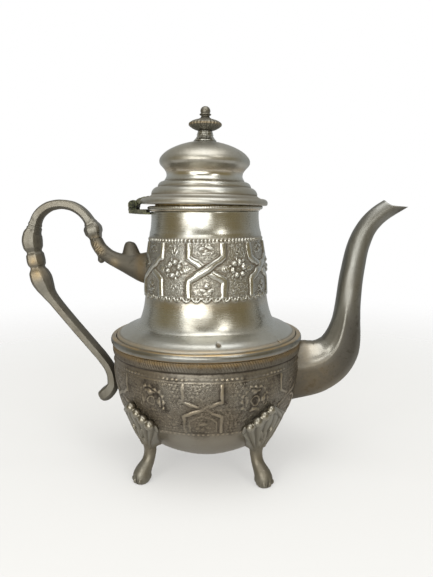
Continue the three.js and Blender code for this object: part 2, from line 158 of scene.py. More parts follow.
def make_floor():
    h = FLOOR_M / 2
    corners = [(-h, -h, 0), (h, -h, 0), (h, h, 0), (-h, h, 0)]
    floor = linked("floor", new_mesh("floor", corners, [(0, 1, 2, 3)]))
    floor.location = (AXIS, 0, -0.0002)             # just below the feet
    material = bpy.data.materials.new("floor")
    material.use_nodes = True
    tree = material.node_tree
    shader = tree.nodes["Principled BSDF"]
    coords = node(tree, "ShaderNodeTexCoord")
    place = coords.outputs["Object"]
    grain = node(tree, "ShaderNodeTexNoise", {"Vector": place, "Scale": 3.0, "Detail": 2.0})
    tone = mix_colour(tree, grain.outputs["Fac"], (0.88, 0.88, 0.87), (0.92, 0.92, 0.91))
    tree.links.new(tone, shader.inputs["Base Color"])
    shader.inputs["Roughness"].default_value = 0.9
    shader.inputs["Specular IOR Level"].default_value = 0.1
    distance = node(tree, "ShaderNodeVectorMath", {0: place}, operation="LENGTH")
    fade = ramp(tree, distance.outputs["Value"], 0.12, 0.8, 0.45, 1.0)
    clear = node(tree, "ShaderNodeBsdfTransparent")
    both = node(tree, "ShaderNodeMixShader", {0: fade, 1: shader.outputs[0], 2: clear.outputs[0]})
    tree.links.new(both.outputs[0], tree.nodes["Material Output"].inputs["Surface"])
    floor.data.materials.append(material)


make_camera()
make_world()
make_floor()
area_light("soft_left", -28, 0.95, 0.70, 0.26, 0.52, 1.25, (1.0, 1.0, 0.98))
area_light("soft_right", 37, 0.95, 0.72, 0.24, 0.50, 1.75, (1.0, 1.0, 0.98))
area_light("soft_front", -13, 0.95, 0.18, 0.86, 0.36, 4.2, (1.0, 1.0, 0.99))
area_light("soft_top", 5, 0.25, 1.15, 0.9, 0.9, 6, (1.0, 1.0, 1.0))
SCENE.view_settings.view_transform = "Standard"


# ---------------- silver, brass and tarnish
def metal(name, light, warm, dark, roughness, tarnish, lathe=0.0, hammered=0.0, green=0.0):
    """Worn silver plate over brass. The meshes carry values from 0 to 1: tarnish and shade (tarnish in
    recesses, and painted shade at joints, under overhangs and on lower sides), wear and highlight (worn high
    spots, and painted highlights), brass (bare metal), stipple (punched ground), matte (less polished) and
    hatch (the bowl's rolled band)."""
    material = bpy.data.materials.new(name)
    material.use_nodes = True
    tree = material.node_tree
    shader = tree.nodes["Principled BSDF"]
    coords = node(tree, "ShaderNodeTexCoord")
    at = node(tree, "ShaderNodeVectorMath", {0: coords.outputs["Object"], "Scale": 1000.0}, operation="SCALE")
    place = at.outputs[0]

    def noise(scale, detail=3.0, rough=0.5, vector=place):
        return node(tree, "ShaderNodeTexNoise", {"Vector": vector, "Scale": scale, "Detail": detail,
                                                 "Roughness": rough}).outputs["Fac"]

    def stretched(*scale):
        return node(tree, "ShaderNodeVectorMath", {0: place, 1: scale}, operation="MULTIPLY").outputs[0]

    def value(attribute):
        return node(tree, "ShaderNodeAttribute", attribute_name=attribute).outputs["Fac"]

    def plus(a, b, clamp=False):
        return mathn(tree, "ADD", a, b, clamp)

    def minus(a, b, clamp=False):
        return mathn(tree, "SUBTRACT", a, b, clamp)

    def times(a, b):
        return mathn(tree, "MULTIPLY", a, b)

    broad = noise(0.03, 3.0)
    patch = noise(0.11, 6.0, 0.62)
    speck = noise(0.7, 5.0, 0.65)
    fine = noise(2.6, 3.0, 0.6)
    rings = noise(1.5, 4.0, 0.7, stretched(0.02, 0.02, 1.0))
    streak = noise(0.9, 3.0, 0.55, stretched(0.5, 0.5, 0.045))
    point = node(tree, "ShaderNodeNewGeometry").outputs["Pointiness"]
    edge = ramp(tree, point, 0.515, 0.60)
    fold = ramp(tree, point, 0.488, 0.41)
    tarnish_and_shade, wear_and_highlight, brass = value("tarnish_and_shade"), value("wear_and_highlight"), value("brass")

    # how dark and rough the tarnish and the painted shade lie
    blotch = ramp(tree, patch, 0.62 - 0.22 * tarnish, 0.80 - 0.1 * tarnish)
    film = times(blotch, 0.35 + 0.4 * tarnish)
    dust = times(ramp(tree, speck, 0.52, 0.72), 0.04 + 0.5 * tarnish)
    depth = plus(times(tarnish_and_shade, 0.85), times(fold, 0.6))
    total = plus(plus(film, dust), depth)
    total = minus(total, times(wear_and_highlight, 0.55))
    total = minus(total, times(edge, 0.35), clamp=True)

    colour = mix_colour(tree, ramp(tree, broad, 0.36, 0.64), light, warm)
    streaked = times(ramp(tree, streak, 0.45, 0.75), 0.3)
    colour = mix_colour(tree, streaked, colour, tuple(c * 0.72 for c in warm))
    colour = mix_colour(tree, total, colour, dark)
    # lighter on worn high spots and edges, and where a painted highlight lies
    polish_and_highlight = plus(times(wear_and_highlight, 0.6), times(edge, 0.45), clamp=True)
    colour = mix_colour(tree, polish_and_highlight, colour, tuple(min(c * 1.22, 0.95) for c in light))
    bare = times(brass, ramp(tree, patch, 0.3, 0.62, 0.45, 1.0))
    colour = mix_colour(tree, bare, colour, (0.62, 0.43, 0.19))
    if green:
        bloom = times(ramp(tree, noise(0.35, 4.0, 0.6), 0.42, 0.66), green)
        colour = mix_colour(tree, bloom, colour, (0.33, 0.36, 0.17))
        total = plus(total, times(bloom, 0.5), clamp=True)
    tree.links.new(colour, shader.inputs["Base Color"])

    gloss = plus(times(total, 0.26), roughness)
    gloss = plus(gloss, times(minus(fine, 0.5), 0.08))
    gloss = plus(gloss, times(minus(rings, 0.5), 0.14))
    gloss = plus(gloss, times(value("matte"), 0.16))
    gloss = minus(gloss, times(polish_and_highlight, 0.08), clamp=True)
    tree.links.new(gloss, shader.inputs["Roughness"])
    tree.links.new(ramp(tree, total, 0.1, 1.0, 1.0, 0.62), shader.inputs["Metallic"])

    # relief too fine for the mesh, each layer with its depth in metres
    def bump(height, depth_m, below=None):
        inputs = {"Height": height, "Distance": depth_m, "Strength": 1.0}
        if below is not None:
            inputs["Normal"] = below
        return node(tree, "ShaderNodeBump", inputs).outputs[0]

    normal = bump(fine, 0.000004 + 0.00006 * tarnish ** 2)
    normal = bump(speck, 0.000012 + 0.00022 * tarnish ** 2, normal)
    if lathe:
        normal = bump(rings, lathe, normal)
    if hammered:
        normal = bump(noise(0.07, 2.0), hammered, normal)
    cells = node(tree, "ShaderNodeTexVoronoi", {"Vector": place, "Scale": 0.95}).outputs["Distance"]
    punched = times(ramp(tree, cells, 0.15, 0.55), value("stipple"))
    normal = bump(punched, 0.00034, normal)
    split = node(tree, "ShaderNodeSeparateXYZ", {0: place})
    around = mathn(tree, "ARCTAN2", split.outputs[1], minus(split.outputs[0], AXIS * 1000))
    slant = plus(times(around, 230.0), times(split.outputs[2], 1.5))
    thread = times(mathn(tree, "SINE", slant), value("hatch"))
    normal = bump(thread, 0.00014, normal)
    tree.links.new(normal, shader.inputs["Normal"])
    return material


PLATE = metal("silver_plate", (0.53, 0.535, 0.505), (0.48, 0.465, 0.41), (0.15, 0.12, 0.08), 0.27, 0.12,
              lathe=0.00003, hammered=HAMMERED_M)
# The bowl's silver is darker than the plate: its tarnish, and painted shade standing in for the dark
# reflection under the pot.
CHASED = metal("chased_silver", (0.30, 0.28, 0.24), (0.25, 0.215, 0.165), (0.05, 0.04, 0.03), 0.36, 0.7,
               hammered=HAMMERED_M)
BRIGHT = metal("bright_silver", (0.31, 0.312, 0.292), (0.27, 0.262, 0.235), (0.066, 0.06, 0.05), 0.28, 0.22,
               hammered=HAMMERED_M)
CAST = metal("cast_silver", (0.27, 0.26, 0.225), (0.225, 0.207, 0.168), (0.055, 0.048, 0.036), 0.38, 0.24,
             hammered=HAMMERED_M)
PATINA = metal("hinge_patina", (0.20, 0.20, 0.155), (0.15, 0.145, 0.09), (0.018, 0.02, 0.015), 0.45, 0.9,
               hammered=HAMMERED_M, green=0.28)
INNER = metal("inner_brass", (0.55, 0.45, 0.27), (0.48, 0.38, 0.21), (0.16, 0.12, 0.07), 0.42, 0.5,
              lathe=0.00005)


# ---------------- curves and meshes, millimetres
def bell(x, centre, width):
    return np.exp(-((x - centre) / width) ** 2)


def step(x, low, high):
    """0 below low, 1 above high and smooth in between."""
    t = np.clip((x - low) / (high - low), 0, 1)
    return t * t * (3 - 2 * t)


def between(x, start, full, fading, end):
    """Rises from start to full, then falls from fading to end."""
    return step(x, start, full) * (1 - step(x, fading, end))


def round_angles(sides):
    return np.arange(sides) * 2 * math.pi / sides


def unit(vectors):
    return vectors / (np.linalg.norm(vectors, axis=1)[:, None] + 1e-12)


def heading(line):
    t = np.gradient(line[:, :2], axis=0)
    return t / np.linalg.norm(t, axis=1)[:, None]


def pchip(s, y, q):
    """Smooth interpolation that never overshoots its points."""
    s, y, q = map(lambda v: np.asarray(v, float), (s, y, q))
    h, d = np.diff(s), np.diff(y) / np.diff(s)
    m = np.zeros_like(y)
    m[0], m[-1] = d[0], d[-1]
    for i in range(1, len(y) - 1):
        if d[i - 1] * d[i] > 0:
            a, b = 2 * h[i] + h[i - 1], h[i] + 2 * h[i - 1]
            m[i] = (a + b) / (a / d[i - 1] + b / d[i])
    k = np.clip(np.searchsorted(s, q, "right") - 1, 0, len(h) - 1)
    t = (q - s[k]) / h[k]
    return ((1 + 2 * t) * (1 - t) ** 2 * y[k] + t * (1 - t) ** 2 * h[k] * m[k]
            + t * t * (3 - 2 * t) * y[k + 1] + t * t * (t - 1) * h[k] * m[k + 1])


def run_along(line):
    """Length from a line's first point to each of its points."""
    return np.concatenate([[0], np.cumsum(np.linalg.norm(np.diff(line[:, :2], axis=0), axis=1))])


def smoothed(points, pace):
    """Points along a smooth curve through the given ones, about one pace apart, with every column carried."""
    p = np.asarray(points, float)
    s = run_along(p)
    q = np.linspace(0, s[-1], max(2, int(math.ceil(s[-1] / pace)) + 1))
    return np.stack([pchip(s, p[:, i], q) for i in range(p.shape[1])], axis=1)


def outline(start, *stretches):
    """A profile from start through stretches of (pace, point, point, ...). A stretch is smooth, and meets the
    next one in a corner."""
    parts = []
    for pace, *points in stretches:
        parts.append(smoothed([start, *points], pace))
        start = points[-1]
    return np.vstack([part[:-1] for part in parts[:-1]] + [parts[-1]])


def inset(profile, distance):
    t = unit(np.gradient(profile, axis=0))
    moved = profile + np.stack([-t[:, 1], t[:, 0]], axis=1) * distance
    moved[:, 0] = np.maximum(moved[:, 0], 0)
    return moved


def lean(points):
    x, z = points[:, 0], points[:, 2] - LEAN_Z
    leaned = points.copy()
    leaned[:, 0] = x * math.cos(LEAN) + z * math.sin(LEAN)
    leaned[:, 2] = LEAN_Z - x * math.sin(LEAN) + z * math.cos(LEAN)
    return leaned


def add_piece(node_name, body, slot, material, points, faces, values):
    """A piece in place of its CAD node, from millimetre points round the pot's axis; values are its per-point
    attributes."""
    mesh = new_mesh(node_name + "_visual", points / 1000 + (AXIS, 0, 0), faces)
    for key, array in values.items():
        attribute = mesh.attributes.new(key, "FLOAT", "POINT")
        attribute.data.foreach_set("value", np.clip(np.ravel(array), 0, 1).astype(np.float32))
    mesh.polygons.foreach_set("use_smooth", np.ones(len(mesh.polygons), bool))
    mesh.update()
    mesh.materials.append(material)
    piece = linked(mesh.name, mesh)
    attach(piece, body)
    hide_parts(node_name)


def revolve(rows, sides, values, height=0.0, ripple=1.0):
    """Points, faces and values of a closed solid of revolution. rows is a closed profile of [r, z], up the
    outside and down the inside, or one that starts and ends on the axis; height moves each point along the
    profile's normal and ripple scales its radius."""
    poles = rows[0, 0] < 1e-6 and rows[-1, 0] < 1e-6
    t = unit(np.gradient(rows, axis=0) if poles else np.roll(rows, -1, 0) - np.roll(rows, 1, 0))
    angle = round_angles(sides)
    r = (rows[:, :1] + t[:, 1:2] * height) * ripple
    z = rows[:, 1:2] - t[:, 0:1] * height
    grid = np.stack([r * np.cos(angle), r * np.sin(angle), z + 0 * angle], axis=2)
    keep = np.ones(grid.shape[:2], bool)
    if poles:
        keep[0, 1:] = keep[-1, 1:] = False        # one point stands for the whole row
    index = (np.cumsum(keep) - 1).reshape(keep.shape)
    ahead = np.roll(index, -1, axis=1)
    faces = []
    last = len(rows) - 1 if poles else len(rows)
    for j in range(last):
        k = (j + 1) % len(rows)
        quads = np.stack([index[j], ahead[j], ahead[k], index[k]], axis=1).tolist()
        if poles and j == 0:
            faces += [(q[0], q[2], q[3]) for q in quads]
        elif poles and j == last - 1:
            faces += [(q[0], q[1], q[2]) for q in quads]
        else:
            faces += quads
    return grid[keep], faces, {key: np.broadcast_to(array, keep.shape)[keep] for key, array in values.items()}


def laid_across(line, side, depth):
    """A section at every station of a path in the XZ plane; a station is [x, z, half width, half depth]. side
    and depth say where the section's points lie, in halves; positive sides are to the left."""
    x, z, half_width, half_depth = [line[:, k:k + 1] for k in range(4)]
    t = heading(line)
    reach = half_width * side
    return np.stack([x - t[:, 1:2] * reach, half_depth * depth, z + t[:, 0:1] * reach], axis=2)


def ring_path(line, sides, power=2.0, scale=1.0):
    """Rings along a path: ellipses, or squarer with a higher power."""
    angle = round_angles(sides)
    c, s = [np.sign(wave) * np.abs(wave) ** (2 / power) for wave in (np.cos(angle), np.sin(angle))]
    return laid_across(line, c * scale, s * scale)


def faceted_path(line, corners, sides):
    """Rings along a path, drawn through corners [inwards, depth] that are the same front and back."""
    half = np.asarray(corners, float)
    loop = np.vstack([half, (half * (1, -1))[::-1], half[:1]])
    run = run_along(loop)
    q = np.arange(sides) * run[-1] / sides
    return laid_across(line, np.interp(q, run, loop[:, 0]), np.interp(q, run, loop[:, 1]))


def tube_faces(rows, sides, offset=0):
    index = np.arange(rows * sides).reshape(rows, sides) + offset
    ahead = np.roll(index, -1, axis=1)
    return np.stack([index[:-1], index[1:], ahead[1:], ahead[:-1]], axis=2).reshape(-1, 4).tolist()


def capped(rings):
    """Points and faces of a closed tube."""
    rows, sides = rings.shape[:2]
    points = np.vstack([rings.reshape(-1, 3), rings[0].mean(0), rings[-1].mean(0)])
    faces = tube_faces(rows, sides)
    first, last = rows * sides, rows * sides + 1
    end = (rows - 1) * sides
    for i in range(sides):
        j = (i + 1) % sides
        faces.append((first, i, j))
        faces.append((last, end + j, end + i))
    return points, faces


def ellipsoid(centre, radii, turn=None, rings=8, sides=12):
    lat = np.linspace(-math.pi / 2, math.pi / 2, rings + 1)[1:-1]
    lon = round_angles(sides)
    ball = np.stack([np.cos(lat)[:, None] * np.cos(lon), np.cos(lat)[:, None] * np.sin(lon),
                     np.sin(lat)[:, None] + 0 * lon], axis=2)
    points, faces = capped(ball)
    points[-2], points[-1] = (0, 0, -1), (0, 0, 1)
    points = points * np.asarray(radii, float)
    if turn is not None:
        points = points @ np.asarray(turn.to_3x3()).T
    return points + np.asarray(centre, float), faces


def spin(degrees, axis):
    return Matrix.Rotation(math.radians(degrees), 3, axis)


def cast(solids, voxel, smooth, floor=None):
    """Melts overlapping closed solids into one surface, as a casting is."""
    points, faces, offset = [], [], 0
    for p, f in solids:
        points.append(p)
        faces += [tuple(i + offset for i in face) for face in f]
        offset += len(p)
    mesh = new_mesh("melt", np.vstack(points), faces)
    raw = linked("melt", mesh)
    melt = raw.modifiers.new("melt", "REMESH")
    melt.mode = "VOXEL"
    melt.voxel_size = voxel
    relax = raw.modifiers.new("relax", "SMOOTH")
    relax.factor, relax.iterations = 0.5, smooth
    graph = bpy.context.evaluated_depsgraph_get()
    result = raw.evaluated_get(graph).to_mesh()
    out = np.zeros(len(result.vertices) * 3)
    result.vertices.foreach_get("co", out)
    out = out.reshape(-1, 3)
    loops = [tuple(poly.vertices) for poly in result.polygons]
    raw.evaluated_get(graph).to_mesh_clear()
    bpy.data.objects.remove(raw)
    bpy.data.meshes.remove(mesh)
    if floor is not None:
        out[:, 2] = np.maximum(out[:, 2], floor)
    return out, loops


# ---------------- relief drawn on an unrolled band
BLUR_PASSES = 14


def dome(u, v, cu, cv, ru, rv=None, turn=0.0):
    rv = ru if rv is None else rv
    c, s = math.cos(math.radians(turn)), math.sin(math.radians(turn))
    a, b = ((u - cu) * c + (v - cv) * s) / ru, (-(u - cu) * s + (v - cv) * c) / rv
    return np.sqrt(np.clip(1 - a * a - b * b, 0, 1))


def domes(u, v, shapes):
    """The highest of several domes, each (height, u, v, half width, half height, turn in degrees)."""
    return np.maximum.reduce([tall * dome(u, v, *shape) for tall, *shape in shapes])


def both_sides(*shapes):
    """The shapes and their mirror images left of u = 0."""
    return [(tall, side * u, v, ru, rv, side * turn)
            for tall, u, v, ru, rv, turn in shapes for side in (1, -1)]


def wreath(count, radius, tall, ru, rv, first, turned=False):
    """Shapes in a ring round (0, 0), the first one at an angle in degrees."""
    shapes = []
    for k in range(count):
        at = 360 / count * k + first
        shapes.append((tall, radius * math.cos(math.radians(at)), radius * math.sin(math.radians(at)), ru, rv,
                       at if turned else 0))
    return shapes


def away(u, v, *corners):
    """Distance to a line through corners."""
    best = np.full(np.broadcast(u, v).shape, 1e9)
    for (a, b), (c, d) in zip(corners[:-1], corners[1:]):
        k = np.clip(((u - a) * (c - a) + (v - b) * (d - b)) / ((c - a) ** 2 + (d - b) ** 2), 0, 1)
        best = np.minimum(best, np.hypot(u - a - k * (c - a), v - b - k * (d - b)))
    return best


def strap(d, half, tall):
    """A raised strap with a rounded crown and a groove along each side."""
    crown = np.sqrt(np.clip(1 - (d / half) ** 2, 0, 1))
    return tall * crown - 0.28 * bell(d - half, 0.3, 0.45)


def wander(theta, z, seed, size, low, high):
    """A smooth random field round the pot; low and high are its waves per turn."""
    rng = np.random.default_rng(seed)
    waves, tall_scale = 14, 66
    total = 0
    for _ in range(waves):
        around = int(rng.integers(low, high)) * rng.choice((-1, 1))
        up = rng.uniform(-1, 1) * high / tall_scale
        total = total + np.sin(theta * around + z * up + rng.uniform(0, 6.3))
    return size * total / math.sqrt(waves / 2)


def pebbles(theta, z, radius, pitch, tall, seed):
    """A punched ground: small domes on a loose grid, none two alike."""
    rng = np.random.default_rng(seed)
    grid_low, grid_tall = 30, 120
    count = int(round(2 * math.pi * radius / pitch))
    rows = int(grid_tall / pitch) + 2
    j = np.clip(np.floor((z - grid_low) / pitch).astype(int), 0, rows - 1)
    along = theta / (2 * math.pi) * count + 0.5 * (j % 2)
    i = np.floor(along).astype(int) % count
    jig, jag, big = [rng.uniform(low, high, (rows, count))
                     for low, high in ((-0.2, 0.2), (-0.2, 0.2), (0, 1))]
    a = (along - np.floor(along) - 0.5 - jig[j, i]) * pitch
    b = z - grid_low - (j + 0.5 + jag[j, i]) * pitch
    size = pitch * (0.28 + 0.24 * big[j, i])
    return tall * (0.35 + 0.65 * big[j, i]) * np.sqrt(np.clip(1 - (a * a + b * b) / size ** 2, 0, 1))


def wrapped(degrees, centre, repeats):
    """Angle from the nearest of the repeats, in degrees."""
    period = 360 / repeats
    return (degrees - centre + period / 2) % period - period / 2


def bead_row(degrees, centre, repeats):
    """Angle from the nearest bead in a row, in degrees, and that bead's number."""
    period = 360 / repeats
    return wrapped(degrees, centre, repeats), np.floor((degrees - centre + period / 2) / period)


def crossed(u, v, half_u, top, high, cross_top, cross_low, low, half, tall):
    """Two straps that meet in an X between upright bars; one passes over the other."""
    under = away(u, v, (-half_u, top), (-half_u, cross_top), (half_u, cross_low), (half_u, low))
    above = away(u, v, (half_u, top), (half_u, cross_top), (-half_u, cross_low), (-half_u, low))
    first = strap(under, half, tall)
    second = strap(above, half, tall * 1.12)
    higher = np.maximum(first, second)
    near = step(half + 1.1 - above, 0, 0.6) * (np.abs(v - (cross_top + cross_low) / 2) < high)
    return np.where(above < half + 0.9, higher * (1 - near) + second * near, higher)


def recess_and_crest(h, deep):
    """How far each point lies below and above its blurred surroundings, 1 at deep millimetres."""
    soft = h
    for _ in range(BLUR_PASSES):
        soft = (np.roll(soft, 1, 1) + soft + np.roll(soft, -1, 1)) / 3
        padded = np.vstack([soft[:1], soft, soft[-1:]])
        soft = (padded[:-2] + padded[1:-1] + padded[2:]) / 3
    return np.clip((soft - h) / deep, 0, 1), np.clip((h - soft) / deep, 0, 1)


def dents(theta, z, amount, seed):
    """The low unevenness of sheet raised by hand."""
    rng = np.random.default_rng(seed)
    total = 0
    for _ in range(9):
        total = total + np.sin(theta * rng.integers(2, 9) + z * rng.uniform(0.04, 0.16) + rng.uniform(0, 6.3))
    return amount * total / 5


def pit(theta, z, at_deg, at_z, radius, size):
    d = np.hypot(wrapped(np.degrees(theta), at_deg, 1) * math.radians(1) * radius, 1.5 * (z - at_z))
    return np.exp(-(d / size) ** 4)


def add_sheet(node_name, outside, inside, sides, height, slot, material, values):
    """A raised wall from the rows of its outside and inside; height and values belong to the outside."""
    rows = np.vstack([outside, inside])

    def filled(array):
        full = np.zeros((len(rows), sides))
        full[:len(outside)] = array
        return full

    carried = {key: filled(array) for key, array in values.items()}
    add_piece(node_name, "pot", slot, material, *revolve(rows, sides, carried, filled(height)))


def unrolled(outside, sides):
    """The angle and the height of every point of a wall's outside."""
    return round_angles(sides)[None, :], np.broadcast_to(outside[:, 1:2], (len(outside), sides))


# ---------------- neck
PANELS = 6                                          # embossed panels round each band
NECK_BAND_R, NECK_PANEL_DEG, NECK_ROSETTE_DEG = 43.2, -84.6, -54.6
SPRIG = (
    (0.75, -2.7, 160.6, 2.9, 1.0, 22), (0.75, 2.9, 161.0, 2.9, 1.0, -18), (0.65, 0.4, 157.4, 3.4, 0.9, 12),
    (0.6, -4.6, 157.4, 1.5, 0.8, -30), (0.7, 0.1, 159.1, 1.1), (0.6, 0.2, 162.4, 0.9, 1.2),
    (0.5, -1.9, 162.9, 1.3, 0.6, 35), (0.5, 2.2, 162.9, 1.3, 0.6, -35), (0.5, 4.4, 157.9, 1.2, 0.7, 40))
PALMETTE = (
    (0.95, 0.6, 136.3, 2.2, 1.9), (0.8, -2.1, 133.5, 2.8, 1.2, -28), (0.8, 2.8, 133.3, 2.5, 1.1, 24),
    (0.7, 0.2, 131.3, 2.9, 0.9, 4), (0.55, -4.2, 131.0, 1.2, 0.8), (0.6, 1.2, 129.8, 2.0, 0.6))
TULIPS = [(0.65, 0, 13.2, 0.8, 2.3), (0.5, 0, 9.2, 1.2, 0.7), (0.65, 0, -12.6, 0.8, 2.0),
          (0.6, -1.5, -10.9, 0.8, 1.9, -26), (0.6, 1.6, -10.9, 0.8, 1.9, 26)]
TULIPS += both_sides((0.6, 1.6, 11.2, 0.8, 2.2, -24), (0.45, 3.6, -14.4, 1.1, 0.7, 0),
                     (0.4, 3.5, 15.4, 1.1, 0.7, 20))


def neck_relief(theta, z):
    deg = np.degrees(theta)
    mm = math.radians(1) * NECK_BAND_R
    u = wrapped(deg, NECK_PANEL_DEG, PANELS) * mm + wander(theta, z, 31, 0.22, 8, 40)
    v = z + wander(theta, z, 32, 0.22, 8, 40)
    straps = crossed(u, v, 11.7, 168, 6.5, 154.6, 139.4, 125, 2.55, 1.35)
    upper = away(u, v, (-8.6, 165), (-8.6, 156.4), (-2.5, 152.2), (2.5, 152.2), (8.6, 156.4), (8.6, 165))
    lower = away(u, v, (-8.6, 129), (-8.6, 137.6), (0, 142.8), (8.6, 137.6), (8.6, 129))
    panel = np.maximum.reduce([straps, domes(u, v, SPRIG), domes(u, v, PALMETTE),
                               0.28 * bell(upper, 0, 0.38), 0.25 * bell(lower, 0, 0.38)])

    # between the panels: a rosette with leaves above and below
    a = wrapped(deg, NECK_ROSETTE_DEG, PANELS) * mm + wander(theta, z, 33, 0.25, 8, 40)
    b = z - 147 + wander(theta, z, 34, 0.25, 8, 40)
    r = np.hypot(a, b)
    hub = 0.4 * dome(a, b, 0, 0, 0.9) - 0.95 * step(2.9 - r, 0, 0.9)
    petals = wreath(6, 4.4, 1.9, 1.95, 1.95, 15) + wreath(6, 6.2, 0.8, 1.5, 0.8, 45, turned=True)
    rosette = np.maximum(hub, domes(a, b, petals))
    leaves = domes(a, b, both_sides((0.8, 9.5, 0, 3.0, 2.4, 0))) * (1 + 0.25 * np.sin(a * 4.2 + b * 2.0))
    h = np.maximum.reduce([panel, rosette * (r < 8), leaves, domes(a, b, TULIPS)])
    h = h + np.minimum(rosette, 0) * (r < 3)
    inside = between(z, 127.4, 128.6, 163.8, 164.8)
    h = np.maximum(h, pebbles(theta, z, NECK_BAND_R, 1.25, 0.2, 35)) * inside

    # borders: punched beads above, scallops below
    k, bead = bead_row(deg, NECK_PANEL_DEG, 96)
    rough = 0.75 + 0.25 * np.sin(bead * 12.9898)
    row = 1.15 * rough * dome(k * mm * 0.95, z, 0.25 * np.sin(bead * 7.1), 165.5, 1.15, 1.2)
    s = wrapped(deg, NECK_PANEL_DEG, 42) * mm * 1.02
    arc = bell(np.hypot(s, z - 128.6), 2.5, 0.6) * (z < 129)
    drops = domes(s, z, ((0.9, 0, 127.4, 1.0, 1.1), (0.9, -2.9, 128.2, 0.9), (0.9, 2.9, 128.2, 0.9)))
    h = np.maximum.reduce([h, row, 0.3 * bell(z, 163.9, 0.4), arc, drops, 0.35 * bell(z, 128.7, 0.4)])
    return h, inside * (1 - step(np.abs(h), 0.22, 0.4))


def build_neck():
    outside = outline(
        [65.1, 92], (1.0, [65.1, 97.4]), (0.4, [64.6, 98.2], [63.1, 98.9]),
        (0.2, [62.9, 99.15], [62.5, 99.35]),
        (1.0, [61, 100.2], [59.6, 101.2], [55.2, 103.2], [50.2, 105.4], [48, 108.3], [46.1, 113.5],
         [45, 117.9], [43.9, 124.4]),
        (0.36, [43.75, 130], [43.5, 136], [42.8, 146.1], [41.95, 154], [41.05, 160], [39.8, 169.5]),
        (1.0, [39, 172.5], [38.45, 177], [38.2, 181], [38.2, 184.3]))
    sides = 756
    theta, z = unrolled(outside, sides)
    relief, ground = neck_relief(theta, z)
    holes = pit(theta, z, -77.6, 101.24, 61.2, 1.5) + 0.8 * pit(theta, z, -35.7, 98.9, 63.5, 0.9)
    height = relief - 0.25 * between(z, 125, 127, 165, 167) + dents(theta, z, 0.16, 3) - 0.95 * holes
    tarnish_and_shade, crest = recess_and_crest(relief, 0.32)
    # Painted shade on the flange above the shoulder ring, dimming its highlight.
    flange_shade = 0.4 * (1 - step(z, 99.0, 99.5)) + 0.4 * bell(z, 99.05, 0.25)
    add_sheet("neck", outside, inset(outside[::3], 1.3)[::-1], sides, height, "silver_plate", PLATE, {
        "tarnish_and_shade": np.clip(tarnish_and_shade + 0.16 * ground + flange_shade + 2.5 * holes, 0, 1),
        "wear_and_highlight": 0.65 * crest,
        "stipple": ground,
        "matte": 0.45 * (1 - step(z, 99.0, 100.0)) + 0.55 * (1 - step(z, 101.0, 105.0)),
        "brass": 0.35 * bell(z, 98.3, 0.5) + 0.15 * bell(z, 122, 2.5)})


# ---------------- bowl
BOWL_BAND_R, BOWL_PANEL_DEG, BOWL_FLOWER_DEG = 66.5, -87.4, -57.4
BUD = [(0.5, -1.8, 74.9, 1.6, 0.7, 10), (0.5, 2.0, 74.7, 1.6, 0.7, -10), (0.45, 0, 71.4, 2.8, 1.5),
       (0.4, 0, 67.3, 1.1, 1.4)] + both_sides((0.4, 3.4, 69.4, 2.0, 0.9, 30))
SHELL = [(0.45, 0, 51.2, 3.0, 1.3), (0.4, 0, 47.2, 1.2, 1.2)] + both_sides((0.4, 3.6, 48.2, 2.3, 0.9, -18))
SCROLLS = both_sides((0.5, 12.5, -9.5, 2.6, 1.3, -50), (0.5, 13.4, 7.5, 2.4, 1.0, 40),
                     (0.45, 15.2, -15.5, 2.0, 1.3, 0), (0.4, 6, -13.5, 2.4, 1.0, -30))


